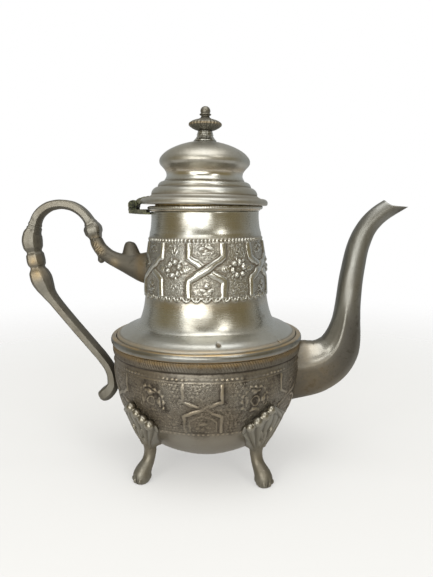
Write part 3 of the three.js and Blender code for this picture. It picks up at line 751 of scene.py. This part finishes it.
def bowl_relief(theta, z):
    deg = np.degrees(theta)
    mm = math.radians(1) * BOWL_BAND_R
    shift_u, shift_v = wander(theta, z, 41, 0.26, 12, 60), wander(theta, z, 42, 0.26, 12, 60)
    u, v = wrapped(deg, BOWL_PANEL_DEG, PANELS) * mm + shift_u, z + shift_v
    wear = np.clip(0.85 + wander(theta, z, 43, 0.28, 6, 30), 0.35, 1.25)
    straps = crossed(u, v, 12.4, 78.2, 5.2, 67.0, 56.6, 44.5, 1.25, 0.7)
    arch = away(u, v, (-8.9, 44.8), (-8.9, 53.0), (0, 57.4), (8.9, 53.0), (8.9, 44.8))
    row = 0.35 * bell(v, 45.9, 0.4) * (np.abs(u) < 8.9) * (0.6 + 0.4 * np.sin(u * 3.4))
    panel = np.maximum.reduce([straps, domes(u, v, BUD), 0.45 * bell(arch, 0, 0.45), domes(u, v, SHELL), row])

    # between the panels: a flower with scrolls round it
    a, b = wrapped(deg, BOWL_FLOWER_DEG, PANELS) * mm + 1.2 * shift_v, z - 65 + 1.2 * shift_u
    r, turn = np.hypot(a, b), np.arctan2(b, a)
    hub = -1.3 * step(2.9 - r, 0, 1.0) + 0.8 * bell(r, 3.1, 0.7)
    petals = 0.95 * np.clip(np.cos(turn * 4), 0, 1) ** 0.6 * bell(r, 6.1, 1.7)
    ruffle = 0.35 * np.cos(turn * 16)
    scallops = (0.6 + ruffle) * bell(r, 9.6 + ruffle, 0.75) * (b > -6)
    flower = np.where(r < 3.4, hub, np.maximum(petals, scallops))
    flower = 1.25 * np.maximum(flower, domes(a, b, wreath(8, 7.2, 0.7, 0.9, 0.9, 22.5)))
    h = np.maximum.reduce([panel * (r > 3.4), flower * (r < 11.5), domes(a, b, SCROLLS)])
    h = h + np.minimum(flower, 0) * (r < 3.4)
    inside = between(z, 43.2, 44.4, 78.4, 79.4)
    tooled = np.maximum(pebbles(theta, z, BOWL_BAND_R, 1.3, 0.24, 44),
                        pebbles(theta, z, BOWL_BAND_R, 2.3, 0.3, 45) * (r > 5))
    tooled = tooled * np.clip(0.75 + wander(theta, z, 46, 0.4, 5, 24), 0.1, 1.3)
    h = np.maximum(0.85 * h * wear, tooled) * inside

    # borders: uneven beads above, dots below
    k, bead = bead_row(deg, BOWL_PANEL_DEG, 132)
    uneven = np.clip(0.3 + 0.35 * np.sin(bead * 5.7), 0.08, 1)
    row = uneven * dome(k * mm, z, 0.2 * np.sin(bead * 3.3), 81.0 + 0.15 * np.sin(bead * 2.1), 1.1, 0.85)
    dots = 0.35 * dome(wrapped(deg, BOWL_PANEL_DEG, 120) * mm * 0.9, z, 0, 42.6, 0.9, 0.7)
    h = np.maximum.reduce([h, row, 0.3 * bell(z, 79.2, 0.4), dots]) - 0.25 * bell(z, 84.9, 0.6)
    return h, inside * (1 - step(np.abs(h), 0.3, 0.5))


def build_bowl():
    outside = outline(
        [0, 8.4],
        (1.2, [6, 8.6], [12, 9.2], [20, 10.8], [27, 13.6], [33, 16.8], [40.4, 21], [47.8, 26.7], [54.2, 33.6],
         [59.3, 41]),
        (0.42, [62.8, 49], [65.4, 57.8], [67, 67], [67.6, 75], [67.2, 81], [67, 84.6], [68, 86.4],
         [68.2, 89.4], [67.6, 91.6]))
    inside = inset(outside[::4], 1.3)[::-1]
    inside[-1] = (0, inside[-2, 1])
    inside[0] = (65.6, 91.6)
    sides = 900
    theta, z = unrolled(outside, sides)
    relief, ground = bowl_relief(theta, z)
    height = relief - 0.3 * between(z, 42, 44, 79, 81) + dents(theta, z, 0.18, 5) * step(z, 9, 20)
    tarnish_and_shade, crest = recess_and_crest(relief, 0.42)
    # Painted shade just under the shoulder ring; tarnish also darkens the groove, the rolled band and the
    # chased band.
    under_ring = bell(z, 90.6, 1.6)
    tarnish = 0.4 * bell(z, 84.9, 0.8) + 0.3 * under_ring + 0.3 * step(z, 84, 86) + 0.32 * step(z, 42, 46)
    add_sheet("bowl", outside, inside, sides, height, "chased_silver", CHASED, {
        "tarnish_and_shade": np.clip(tarnish_and_shade + tarnish, 0, 1),
        "wear_and_highlight": crest * 0.8 + 0.8 * (1 - step(z, 36, 44)),
        "stipple": ground * 0.8,
        "brass": 0.3 * under_ring + 0.18 * crest,
        "hatch": between(z, 85.8, 86.4, 91.0, 91.5)})


# ---------------- small turned pieces
def add_turned(node_name, sides, body, slot, material, rows, brass=(), dull=0.0, ripple=None):
    """A lathe-turned piece; the lid's lean with it. brass is bands of bare metal, each (amount, height,
    width); ripple(r, z, angle) scales the radius."""
    if np.allclose(rows[0], rows[-1]):
        rows = rows[:-1]
    r, z = rows[:, :1], rows[:, 1:2]
    values = {"brass": sum((amount * bell(z, at, width) for amount, at, width in brass), 0 * z),
              "tarnish_and_shade": dull + 0 * z, "matte": dull * 1.6 + 0 * z}
    scale = ripple(r, z, round_angles(sides)[None, :]) if ripple else 1.0
    points, faces, values = revolve(rows, sides, values, ripple=scale)
    add_piece(node_name, body, slot, material, lean(points) if body == "lid" else points, faces, values)


def collar_beads(r, z, angle):
    return 1 + 0.004 * np.cos(angle * 150) * bell(z, 187.2, 0.5) * (r > 39)


def finial_flutes(r, z, angle):
    return 1 - 0.035 * (1 - np.abs(np.cos(angle * 9))) * between(z, 233.2, 234.0, 236.4, 237.0)


def finial_gadroons(r, z, angle):
    return 1 - 0.05 * (1 - np.abs(np.cos(angle * 13))) * step(r, 6.5, 9.5) * (z < 246.5)


def build_rings():
    arc = np.linspace(-math.pi / 2, math.pi / 2, 17)
    bulge = [[67.3 + 1.9 * math.cos(a), 94.6 + 2.7 * math.sin(a)] for a in arc]
    add_turned("shoulder_ring", 360, "pot", "bright_silver", BRIGHT, outline(
        [65.5, 91.9], (1.0, bulge[0]), (0.35, *bulge[1:]), (1.0, [65.5, 97.3]), (2.0, [65.5, 91.9])),
        brass=((0.95, 92.2, 0.55), (0.8, 97.1, 0.4)), dull=0.1)
    add_turned("mouth_collar", 600, "pot", "silver_plate", PLATE, outline(
        [36.7, 184.5], (1.0, [38.4, 184.5]), (0.2, [38.9, 184.8], [39.2, 185.3]),
        (0.22, [40.2, 185.6], [40.8, 186.3], [40.8, 187.2], [40.3, 188.0], [39.6, 188.3]),
        (1.0, [36.7, 188.3]), (1.0, [36.7, 184.5])),
        brass=((0.5, 185.2, 0.4),), ripple=collar_beads)


def build_finial():
    add_turned("finial_base", 144, "lid", "silver_plate", PLATE, outline(
        [2.1, 232.8], (1.0, [8, 232.8]),
        (0.2, [8.05, 233.2], [7.6, 233.7], [6.7, 234.7], [5.9, 236.0], [5.5, 236.7]),
        (0.15, [5.9, 237.1], [5.6, 237.6], [5.1, 237.8]), (0.15, [5.55, 238.2], [5.4, 238.7], [4.9, 238.9]),
        (0.15, [5.3, 239.3], [4.9, 239.8]), (1.0, [2.1, 239.8]), (2.0, [2.1, 232.8])),
        ripple=finial_flutes)
    add_turned("finial_disc", 208, "lid", "bright_silver", CAST, outline(
        [2.1, 240.1], (0.6, [5.0, 240.1]),
        (0.25, [7.2, 240.8], [9.4, 241.9], [11.0, 243.1], [11.7, 244.0], [11.5, 244.9], [10.4, 245.9],
         [8.6, 246.8], [6.2, 247.6]),
        (0.25, [4.6, 248.1], [3.4, 248.9]), (0.6, [2.1, 248.9]), (3.0, [2.1, 240.1])),
        brass=((0.3, 244.2, 0.6),), dull=0.25, ripple=finial_gadroons)
    add_turned("finial_knob", 64, "lid", "silver_plate", CAST, outline(
        [0, 249.2], (0.6, [3.3, 249.2]), (0.15, [2.9, 249.8], [3.1, 250.3]),
        (0.15, [4.0, 250.7], [4.1, 251.1], [3.7, 251.5], [3.0, 251.8]),
        (0.2, [3.4, 252.6], [3.5, 253.6], [3.1, 254.9], [2.3, 255.9], [1.2, 256.5], [0, 256.6])),
        dull=0.2)


# ---------------- lid
def build_lid():
    outer = outline(
        [44.3, 188.9],
        (0.3, [44.8, 189.5], [45, 190.3], [45, 191.2], [44.4, 192.3], [43.3, 193.1], [42.2, 193.4]),
        (0.4, [41.2, 193.5], [39.6, 194.0], [38.4, 194.7], [37.5, 195.6]),
        (0.3, [37.6, 196.2], [37.2, 197.8], [35.9, 199.6], [34.0, 200.8], [33.0, 201.1]),
        (0.3, [33.0, 201.6], [32.4, 203.1], [31.0, 204.4], [29.2, 205.1], [28.5, 205.3]),
        (0.5, [28.2, 205.9], [27.4, 207.3], [26.9, 208.9], [27.1, 210.6], [28.2, 212.8], [29.9, 214.8],
         [31.2, 216.3], [31.9, 218.0], [31.9, 219.2], [31.4, 220.8], [30.1, 222.6], [27.7, 224.9],
         [24.4, 227.0], [20.4, 228.9], [16, 230.5], [12, 231.6], [8.5, 232.4]))
    top = [[5, 232.9], [2.1, 232.9], [2.1, 232.0]]
    inner = inset(outer[::3], 0.9)[::-1]
    rows = np.vstack([outer, top, inner[inner[:, 0] > 2.2]])
    z = rows[:, 1:2]
    is_outside = (np.arange(len(rows)) < len(outer))[:, None]
    sides = 256
    height = dents(round_angles(sides)[None, :], z, 0.07, 11) * is_outside
    groove = sum(bell(z, g, 0.55) for g in (193.6, 195.7, 201.2, 205.4)) * is_outside
    shade = 0.6 * bell(z, 213.2, 1.6) * is_outside
    dull = step(z, 214, 218) + 1 - step(z, 194, 203)
    # The lightening of the waist is a painted highlight, and shade is painted shade under the bulge above it.
    values = {"tarnish_and_shade": np.clip(groove * 0.7 + shade * 0.6 + 0.16 * dull, 0, 1), "wear_and_highlight": bell(z, 208.6, 2.2),
              "brass": 0.25 * bell(z, 211.5, 2.4), "matte": 0.55 * dull}
    points, faces, values = revolve(rows, sides, values, height)
    add_piece("lid_shell", "lid", "silver_plate", PLATE, lean(points), faces, values)


# ---------------- spout
SPOUT = [
    [60, 68.4, 22.4, 15.5], [68, 69.3, 21.3, 15.2], [77, 70.9, 20.4, 14.4], [85.5, 74.2, 18.6, 13.4],
    [92.3, 79.6, 16.8, 12.3], [97.2, 87.2, 14.7, 11.3], [99.9, 96.6, 12.2, 10.4], [101.4, 106.8, 10.1, 9.6],
    [102.4, 119.5, 8.9, 8.8], [103.4, 131.5, 8.5, 8.3], [105.3, 145, 8.1, 7.9], [107.4, 156.5, 7.8, 7.5],
    [110.2, 165, 7.5, 7.1], [113.5, 171.8, 7, 6.8], [117.7, 177.4, 6.8, 6.5], [122.4, 181.8, 6.6, 6.3],
    [128, 185.6, 6.4, 6.1], [136, 190.4, 6.3, 5.9], [142, 194, 6.2, 5.8]]
MOUTH = ([118, 124.6, 126.4, 129, 132.5, 140.2, 160], [200, 191.6, 189.2, 187.7, 187.1, 186.5, 186.5])
SPOUT_WALL = 1.1
TRIM_FROM = 0.72                                    # share of the spout that the cut at the mouth leaves


def trimmed(rings):
    """Cuts a tube's rings at the scooped mouth and spreads the points of each long line evenly again."""
    beyond = rings[:, :, 2] - np.interp(rings[:, :, 0], *MOUTH)
    beyond[rings[:, :, 0] < MOUTH[0][0]] = -1
    rows, sides = beyond.shape
    out = np.empty_like(rings)
    where = np.arange(rows, dtype=float)
    start = rows * TRIM_FROM
    for i in range(sides):
        hit = np.nonzero(beyond[:, i] > 0)[0]
        end = where[-1]
        if len(hit):
            k = hit[0]
            low, high = beyond[k - 1, i], beyond[k, i]
            end = k - 1 + low / (low - high)
        q = np.where(where < start, where, start + (where - start) * (end - start) / (where[-1] - start))
        for c in range(3):
            out[:, i, c] = np.interp(q, where, rings[:, i, c])
    return out


def off_line(angle, degrees):
    """Angle from the nearer of two lines that run along the tube, at this angle on either side."""
    offsets = [angle + side * math.radians(degrees) for side in (1, -1)]
    return np.minimum(*[np.abs((offset + math.pi) % (2 * math.pi) - math.pi) for offset in offsets])


def build_spout():
    line = smoothed(SPOUT, 0.8)
    rows, sides = len(line), 96
    share = np.linspace(0, 1, rows)[:, None]
    angle = round_angles(sides)[None, :]
    ridge, hollow = bell(off_line(angle, 76), 0, 0.13), bell(off_line(angle, 44), 0, 0.33)
    elbow = between(share, 0.02, 0.12, 0.34, 0.5)
    outer = ring_path(line, sides, scale=1 + elbow * (0.07 * ridge - 0.06 * hollow))
    wave = dents(angle, share * 300, 0.10, 23)
    outwards = outer - outer.mean(axis=1, keepdims=True)
    outer = outer + outwards / (np.linalg.norm(outwards, axis=2, keepdims=True) + 1e-9) * wave[:, :, None]
    line[:, 2:] -= SPOUT_WALL
    bore = ring_path(line, sides)
    points = np.vstack([trimmed(outer).reshape(-1, 3), trimmed(bore).reshape(-1, 3)])
    count = rows * sides
    faces = tube_faces(rows, sides) + [tuple(reversed(f)) for f in tube_faces(rows, sides, count)]
    for row in (0, rows - 1):
        a = row * sides
        for i in range(sides):
            j = (i + 1) % sides
            quad = (a + i, a + j, a + j + count, a + i + count)
            faces.append(quad if row == 0 else tuple(reversed(quad)))

    s = np.repeat(share.ravel(), sides)
    side = np.tile(np.cos(round_angles(sides)), rows)
    # Painted light on the spout: darker where it meets the bowl, on the lower side of the elbow and under the
    # tip, all painted shade; the lighter upper side of the elbow is a painted highlight.
    root = bell(s, 0, 0.09)
    low = (1 - step(s, 0.33, 0.5)) * step(0.32 - side, 0, 0.4) * (1 - 0.6 * step(-side, 0.5, 0.9))
    painted_highlight = between(s, 0.08, 0.15, 0.2, 0.34) * between(side, 0.25, 0.4, 0.8, 1.0)
    beak_shade = step(s, 0.9, 0.97) * np.clip(-side, 0, 1)
    lip = step(s, 0.985, 1.0)
    outside = {"tarnish_and_shade": np.clip(0.62 * root * (1 - painted_highlight) + 0.8 * low + 0.7 * beak_shade + 0.24, 0, 1),
               "brass": 0.11 * bell(s, 0.12, 0.09) + 0.05 * root, "matte": 0.5 - 0.5 * painted_highlight,
               "wear_and_highlight": np.maximum(0.5 * lip, 0.55 * painted_highlight)}
    in_bore = {"tarnish_and_shade": 0.5, "brass": 0.6, "matte": 0.0, "wear_and_highlight": 0.0}
    values = {key: np.concatenate([outside[key], np.full(count, in_bore[key])]) for key in outside}
    add_piece("spout", "pot", "bright_silver", BRIGHT, points, faces, values)


# ---------------- handle
SECTION = [[1, 0.36], [0.42, 0.97], [-0.72, 0.97], [-1, 0.7]]     # a bevel towards the inside of the loop
LOOP = [
    [-80.5, 165.4, 4.1, 4.3], [-81.0, 167.1, 4.5, 4.8], [-81.9, 169.8, 5.9, 6.0], [-82.6, 172.4, 6.1, 6.2],
    [-83.4, 175, 5.2, 5.4], [-85.1, 178.5, 3.6, 4.5], [-88.4, 183, 3.4, 4.8], [-93.3, 187, 3.4, 5],
    [-99, 189.4, 3.4, 5.1], [-105.2, 190.2, 3.4, 5.1], [-112, 189.2, 3.4, 5.1], [-118, 186.1, 3.5, 5.1],
    [-122.4, 181.5, 3.6, 5.1], [-124.8, 176, 3.8, 5.3], [-126, 172, 4.6, 5.7], [-127.3, 168.2, 6, 6.4],
    [-127.7, 163.8, 6.5, 6.8], [-127.3, 159.2, 6.1, 6.5], [-126.7, 155.6, 4.7, 5.2],
    [-126.3, 153.6, 5.7, 5.9],
    [-125.6, 149, 5.9, 6.1], [-125.1, 146.4, 5.5, 5.8], [-124.8, 144.5, 4.6, 5.1], [-124, 140.6, 6.3, 6.3],
    [-122.2, 135.6, 7, 6.6], [-119.9, 130.2, 6.1, 6.2], [-117.2, 125, 4.6, 5.5], [-112.5, 118.5, 3.7, 5.1],
    [-99.6, 102.2, 3.5, 5.1], [-84.9, 84.4, 3.5, 5.1], [-77.4, 75, 3.5, 5.1], [-73.5, 68.8, 3.5, 5.1],
    [-71.4, 62.4, 3.6, 5.1], [-71, 56.6, 3.9, 5.1], [-73.2, 51.4, 4.6, 5.2], [-77, 47.8, 5, 5.2],
    [-80.4, 46.0, 4.1, 4.4], [-81.7, 45.4, 2.6, 2.8], [-82.3, 45.1, 0.6, 0.6]]
LOOP_RIBS = ((-125.2, 175.6, 0.35, 1.1), (-125.6, 173.4, 0.35, 1.0), (-125.4, 174.4, -0.3, 0.6),
             (-83.4, 175.6, -0.3, 0.6))            # x, z, height and width along the loop
BRACKET = [
    [-81.5, 168.4, 3.6, 3.8], [-80.75, 166.3, 4.1, 4.2], [-79.4, 162.2, 4.8, 4.7], [-77.5, 158.6, 4.9, 4.8],
    [-74.4, 155.2, 5, 5], [-70.6, 152.2, 5.1, 5.3], [-65.4, 149.6, 5.6, 5.9], [-59, 147.4, 6.9, 6.9],
    [-52, 145.5, 9, 8.2], [-45.5, 144.2, 11.1, 9.6], [-41.5, 143.8, 12, 10.3]]
THUMB_LUG = [
    [-54.2, 148, 9.4, 4.4], [-54.6, 153.4, 7.0, 4.0], [-55.0, 158.2, 5.3, 3.7], [-55.4, 161.0, 4.1, 3.1],
    [-55.6, 162.6, 2.6, 2.1], [-55.6, 163.2, 0.8, 0.8]]
BRACKET_BUD = [
    [-78.4, 159, 1.6, 3.2], [-78, 155.4, 2.6, 3.4], [-77.4, 152.2, 2.0, 2.6], [-76.9, 150, 2.6, 2.9],
    [-76.4, 148.3, 1.9, 2.2], [-76.1, 147.5, 0.8, 1.0]]
# the cast leaf along both sides of the horn: x, z, half length, half width, turn in degrees
BRACKET_LEAF = (
    (-79.9, 161.0, 2.6, 1.1, 66), (-77.6, 158.4, 2.8, 1.1, 48), (-79.2, 157.2, 2.0, 1.0, 80),
    (-75.6, 156.6, 2.6, 1.0, 28), (-76.4, 154.4, 2.2, 1.0, 44), (-72.6, 154.2, 2.4, 0.9, 20),
    (-80.4, 164.6, 1.6, 1.0, 90))


def spread(points, spots):
    """1 at each (x, z, size) spot in the plane, fading away."""
    px, pz = points[:, 0], points[:, 2]
    return np.maximum.reduce([bell(np.hypot(px - x, pz - z), 0, size) for x, z, size in spots])


def dark_side(points, line):
    """1 on the bevel and the inner side of the loop."""
    near = np.array([np.argmin((line[:, 0] - x) ** 2 + (line[:, 1] - z) ** 2) for x, z in points[:, [0, 2]]])
    t, at = heading(line)[near], line[near]
    inwards = ((points[:, 0] - at[:, 0]) * -t[:, 1] + (points[:, 2] - at[:, 1]) * t[:, 0]) / at[:, 2]
    return step(inwards, 0.4, 0.75)


def build_loop():
    line = smoothed(LOOP, 0.4)
    reach = run_along(line)
    ribs = np.zeros(len(line))
    for x, z, tall, width in LOOP_RIBS:
        near = np.argmin(np.hypot(line[:, 0] - x, line[:, 1] - z))
        ribs += tall * bell(reach, reach[near], width)
    line[:, 2:] += ribs[:, None]
    points, faces = capped(faceted_path(line, SECTION, 96))
    faces = [tuple(reversed(face)) for face in faces]
    tan = spread(points, ((-125.8, 149.6, 3.2), (-123.8, 139.6, 4.0), (-79.5, 163, 4)))
    dark = spread(points, ((-126.0, 171.6, 0.9), (-80.9, 167.2, 1.4), (-126.5, 154.4, 0.8),
                           (-124.9, 144.4, 0.8)))
    inner = dark_side(points, line)
    values = {"brass": 0.4 * tan, "tarnish_and_shade": np.clip(0.24 + 0.6 * dark + 0.4 * inner, 0, 1)}
    add_piece("handle_loop", "pot", "cast_silver", CAST, points, faces, values)


def build_bracket():
    solids = [capped(ring_path(smoothed(BRACKET, 0.7), 40, 2.3)),
              capped(ring_path(smoothed(THUMB_LUG, 0.5), 24)),
              capped(ring_path(smoothed(BRACKET_BUD, 0.4), 24))]
    for side in (-1, 1):
        for x, z, long, wide, turn in BRACKET_LEAF:
            solids.append(ellipsoid((x, side * 4.3, z), (long, 1.3, wide), spin(-turn, "Y")))
    points, faces = cast(solids, voxel=0.42, smooth=3)
    # The bracket is darkened all over, most where it meets the neck: tarnish and painted shade; its leaves
    # are lighter.
    leafy = spread(points, ((-79.5, 161, 3), (-77, 157.5, 3.4), (-66, 147.5, 3.0)))
    root = bell(points[:, 0], -46, 4.0)
    values = {"brass": 0.3 * leafy + 0.15 * root, "tarnish_and_shade": np.clip(0.75 + 0.25 * root - 0.4 * leafy, 0, 1)}
    add_piece("handle_bracket", "pot", "cast_silver", CAST, points, faces, values)


# ---------------- feet
LEG = [
    [58.2, 0.2, 4.8, 4.8], [58.8, 2.2, 6.0, 5.5], [58.8, 4.6, 6.4, 5.8], [57.9, 7.4, 5.7, 5.5],
    [56.2, 10, 4.8, 5.0], [54.0, 13.2, 4.1, 4.4], [52.4, 17.4, 3.9, 4.2], [51.8, 21.6, 4.0, 4.5],
    [52.1, 26, 4.4, 5.4], [53, 30.5, 4.6, 6.8], [54.6, 36, 4, 7.6]]
# by height: the fan's half angle in degrees, the fan's radius and the bowl's radius
FAN_HALF = ([24, 29, 36, 43, 46, 50, 54.5, 59], [5.2, 9.0, 14.0, 18.4, 18.2, 12.6, 6.1, 0.4])
FAN_R = ([23, 27, 32, 38, 44, 50, 58, 66], [54.9, 56.0, 58.0, 60.6, 63.3, 65.9, 67.8, 69.1])
BOWL_R = ([21, 26.7, 33.6, 41, 49, 57.8, 67], [40.4, 47.8, 54.2, 59.3, 62.8, 65.4, 67.0])
# folds of the leaf at the knee: y, z, half height, turn in degrees
KNEE_FOLDS = ((0, 33.5, 6.5, 0), (-3.6, 36.5, 5.0, 22), (3.6, 36.5, 5.0, -22), (-2.0, 28.5, 4.0, 10),
              (2.0, 28.5, 4.0, -10))
BEADS, BEADS_DEG, BEADS_TOP, BEADS_DROP = 4, 17.0, 57.8, 12.8      # down one slope of each foot
FLUTES = 3                                          # waves of the fan's flutes from its middle to its edge


def fan_solid():
    z = np.linspace(24, 58.9, 96)
    half, front, back = pchip(*FAN_HALF, z), pchip(*FAN_R, z), pchip(*BOWL_R, z) - 0.6
    across = np.linspace(-1, 1, 121)
    fade = between(z, 25, 30, 46, 56)[:, None]
    flute = 1.15 * (np.abs(np.cos(across * math.pi * FLUTES)) ** 0.7 - 0.7)
    rim = 0.5 * bell(np.abs(across), 0.94, 0.08)
    curve = -1.6 * across ** 2
    outer_r = front[:, None] + fade * flute + rim * (1 - fade * 0.5) + curve * step(z, 30, 44)[:, None]
    outer_r = np.maximum(outer_r, back[:, None] + 1.5)
    angle = np.radians(half[:, None] * across)
    outer, inner = [np.stack([r * np.cos(angle), r * np.sin(angle), z[:, None] + 0 * angle], axis=2)
                    for r in (outer_r, back[:, None])]
    return capped(np.concatenate([outer, inner[:, ::-1]], axis=1))


def foot_solids(bead_side):
    """One foot, pointing along +X; the slope on bead_side, 1 or -1, carries the beads."""
    solids = [fan_solid(), capped(ring_path(smoothed(LEG, 0.5), 36, 2.2))]
    beads = []
    for i in range(BEADS):
        share = (i + 0.45) / BEADS
        a = math.radians(bead_side * BEADS_DEG * share)
        z = BEADS_TOP - BEADS_DROP * share
        r = float(np.interp(z, *FAN_R)) + 0.5
        beads.append((r * math.cos(a), r * math.sin(a), z))
        big = 1 + 0.1 * math.sin(i * 4.1 + bead_side)
        solids.append(ellipsoid(beads[-1], (3.1 * big, 3.5 * big, 3.4 * big)))
    for y, z, tall, turn in KNEE_FOLDS:
        r = float(np.interp(z, *FAN_R)) + 0.3
        solids.append(ellipsoid((r, y, z), (1.3, 1.2, tall), spin(turn, "X") @ spin(24, "Y")))
    for y in (-3.5, 0, 3.5):                        # toes
        solids.append(ellipsoid((63.4 - 0.12 * y * y, y, 2.6), (2.9, 1.4, 2.4), spin(5 * y, "Z")))
        solids.append(ellipsoid((61.2 - 0.1 * y * y, y * 0.8, 6.0), (1.8, 1.1, 2.6), spin(5 * y, "Z")))
    return solids, np.array(beads)


def build_foot(bead_side, placed):
    solids, beads = foot_solids(bead_side)
    points, faces = cast(solids, voxel=0.36, smooth=2, floor=0.0)
    x, y, z = points.T
    from_bead = np.min([np.linalg.norm(points - bead, axis=1) for bead in beads], axis=0)
    bright = step(3.9 - from_bead, 0, 0.8) * (x > 40)
    angle = np.degrees(np.arctan2(y, x))
    edge = 59 - 13.2 * np.abs(angle) / 18
    # A painted shadow along the lower edge of the bead row.
    bead_shadow = bell(z - edge, -5.2, 0.9) * (z > 40)
    share = np.clip(angle / np.interp(z, *FAN_HALF), -1.2, 1.2)
    flute = np.abs(np.cos(share * math.pi * FLUTES))
    on_fan = between(z, 26, 30, 50, 57) * (np.hypot(x, y) > np.interp(z, *BOWL_R) + 0.4)
    valley = on_fan * step(0.62 - flute, 0, 0.4)
    ridge = on_fan * step(flute, 0.8, 1.0) * (1 - bead_shadow)
    toes = bell(z, 3, 3.6) * (np.abs(np.abs(y) - 1.75) < 0.55) * (x > 60)
    values = {"wear_and_highlight": np.clip(1.2 * bright + 0.6 * ridge + 0.25 * on_fan, 0, 1),
              "brass": 0.06 * bright + 0.04 * bell(z, 20, 12),
              "tarnish_and_shade": np.clip(0.8 * bead_shadow + 0.9 * toes + 0.75 * valley, 0, 1),
              "matte": 0.8 * (1 - step(z, 24, 32))}
    for node_name, degrees in placed:
        c, s = math.cos(math.radians(degrees)), math.sin(math.radians(degrees))
        there = np.stack([x * c - y * s, x * s + y * c, z], axis=1)
        add_piece(node_name, "pot", "cast_silver", CAST, there, faces, values)


# ---------------- hinge and the pieces inside
PIN_X, PIN_Z = -51.2, 189.4


def cad_solid(node_name):
    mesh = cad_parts[node_name].data
    points = np.array([v.co for v in mesh.vertices]) * 1000 - (AXIS * 1000, 0, 0)
    return points, [tuple(p.vertices) for p in mesh.polygons]


def build_hinge():
    pieces = (("hinge_body_leaf", "pot", 2), ("hinge_lid_leaf", "lid", 2), ("hinge_pin", "pot", 1))
    for node_name, body, smooth in pieces:
        points, faces = cast([cad_solid(node_name)], voxel=0.24, smooth=smooth)
        from_pin = np.hypot(points[:, 0] - PIN_X, points[:, 2] - PIN_Z)
        wobble = np.sin(points * (1.7, 2.3, 2.9) + (0.3, 1.1, 2.0)).prod(axis=1) * step(from_pin, 2.0, 2.8)
        points = points + wobble[:, None] * (0.2, 0, 0.22)
        end = step(-points[:, 0], 53.2, 54.6)
        tarnish_and_shade = 0.95 * bell(from_pin, 0, 2.4) * (1 - 0.7 * end) + 0.45 * (1 - end)
        values = {"tarnish_and_shade": tarnish_and_shade, "brass": 0.15 * end}
        add_piece(node_name, body, "hinge_patina", PATINA, points, faces, values)


def dress_inner():
    for node_name in ("spout_strainer", "lid_bezel", "finial_stud", "finial_washer", "finial_nut"):
        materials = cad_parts[node_name].data.materials
        materials.clear()
        materials.append(INNER)


build_neck()
build_bowl()
build_rings()
build_lid()
build_finial()
build_spout()
build_loop()
build_bracket()
build_foot(-1, (("foot_front_right", -45), ("foot_rear_left", 135)))
build_foot(1, (("foot_front_left", -135), ("foot_rear_right", 45)))
build_hinge()
dress_inner()
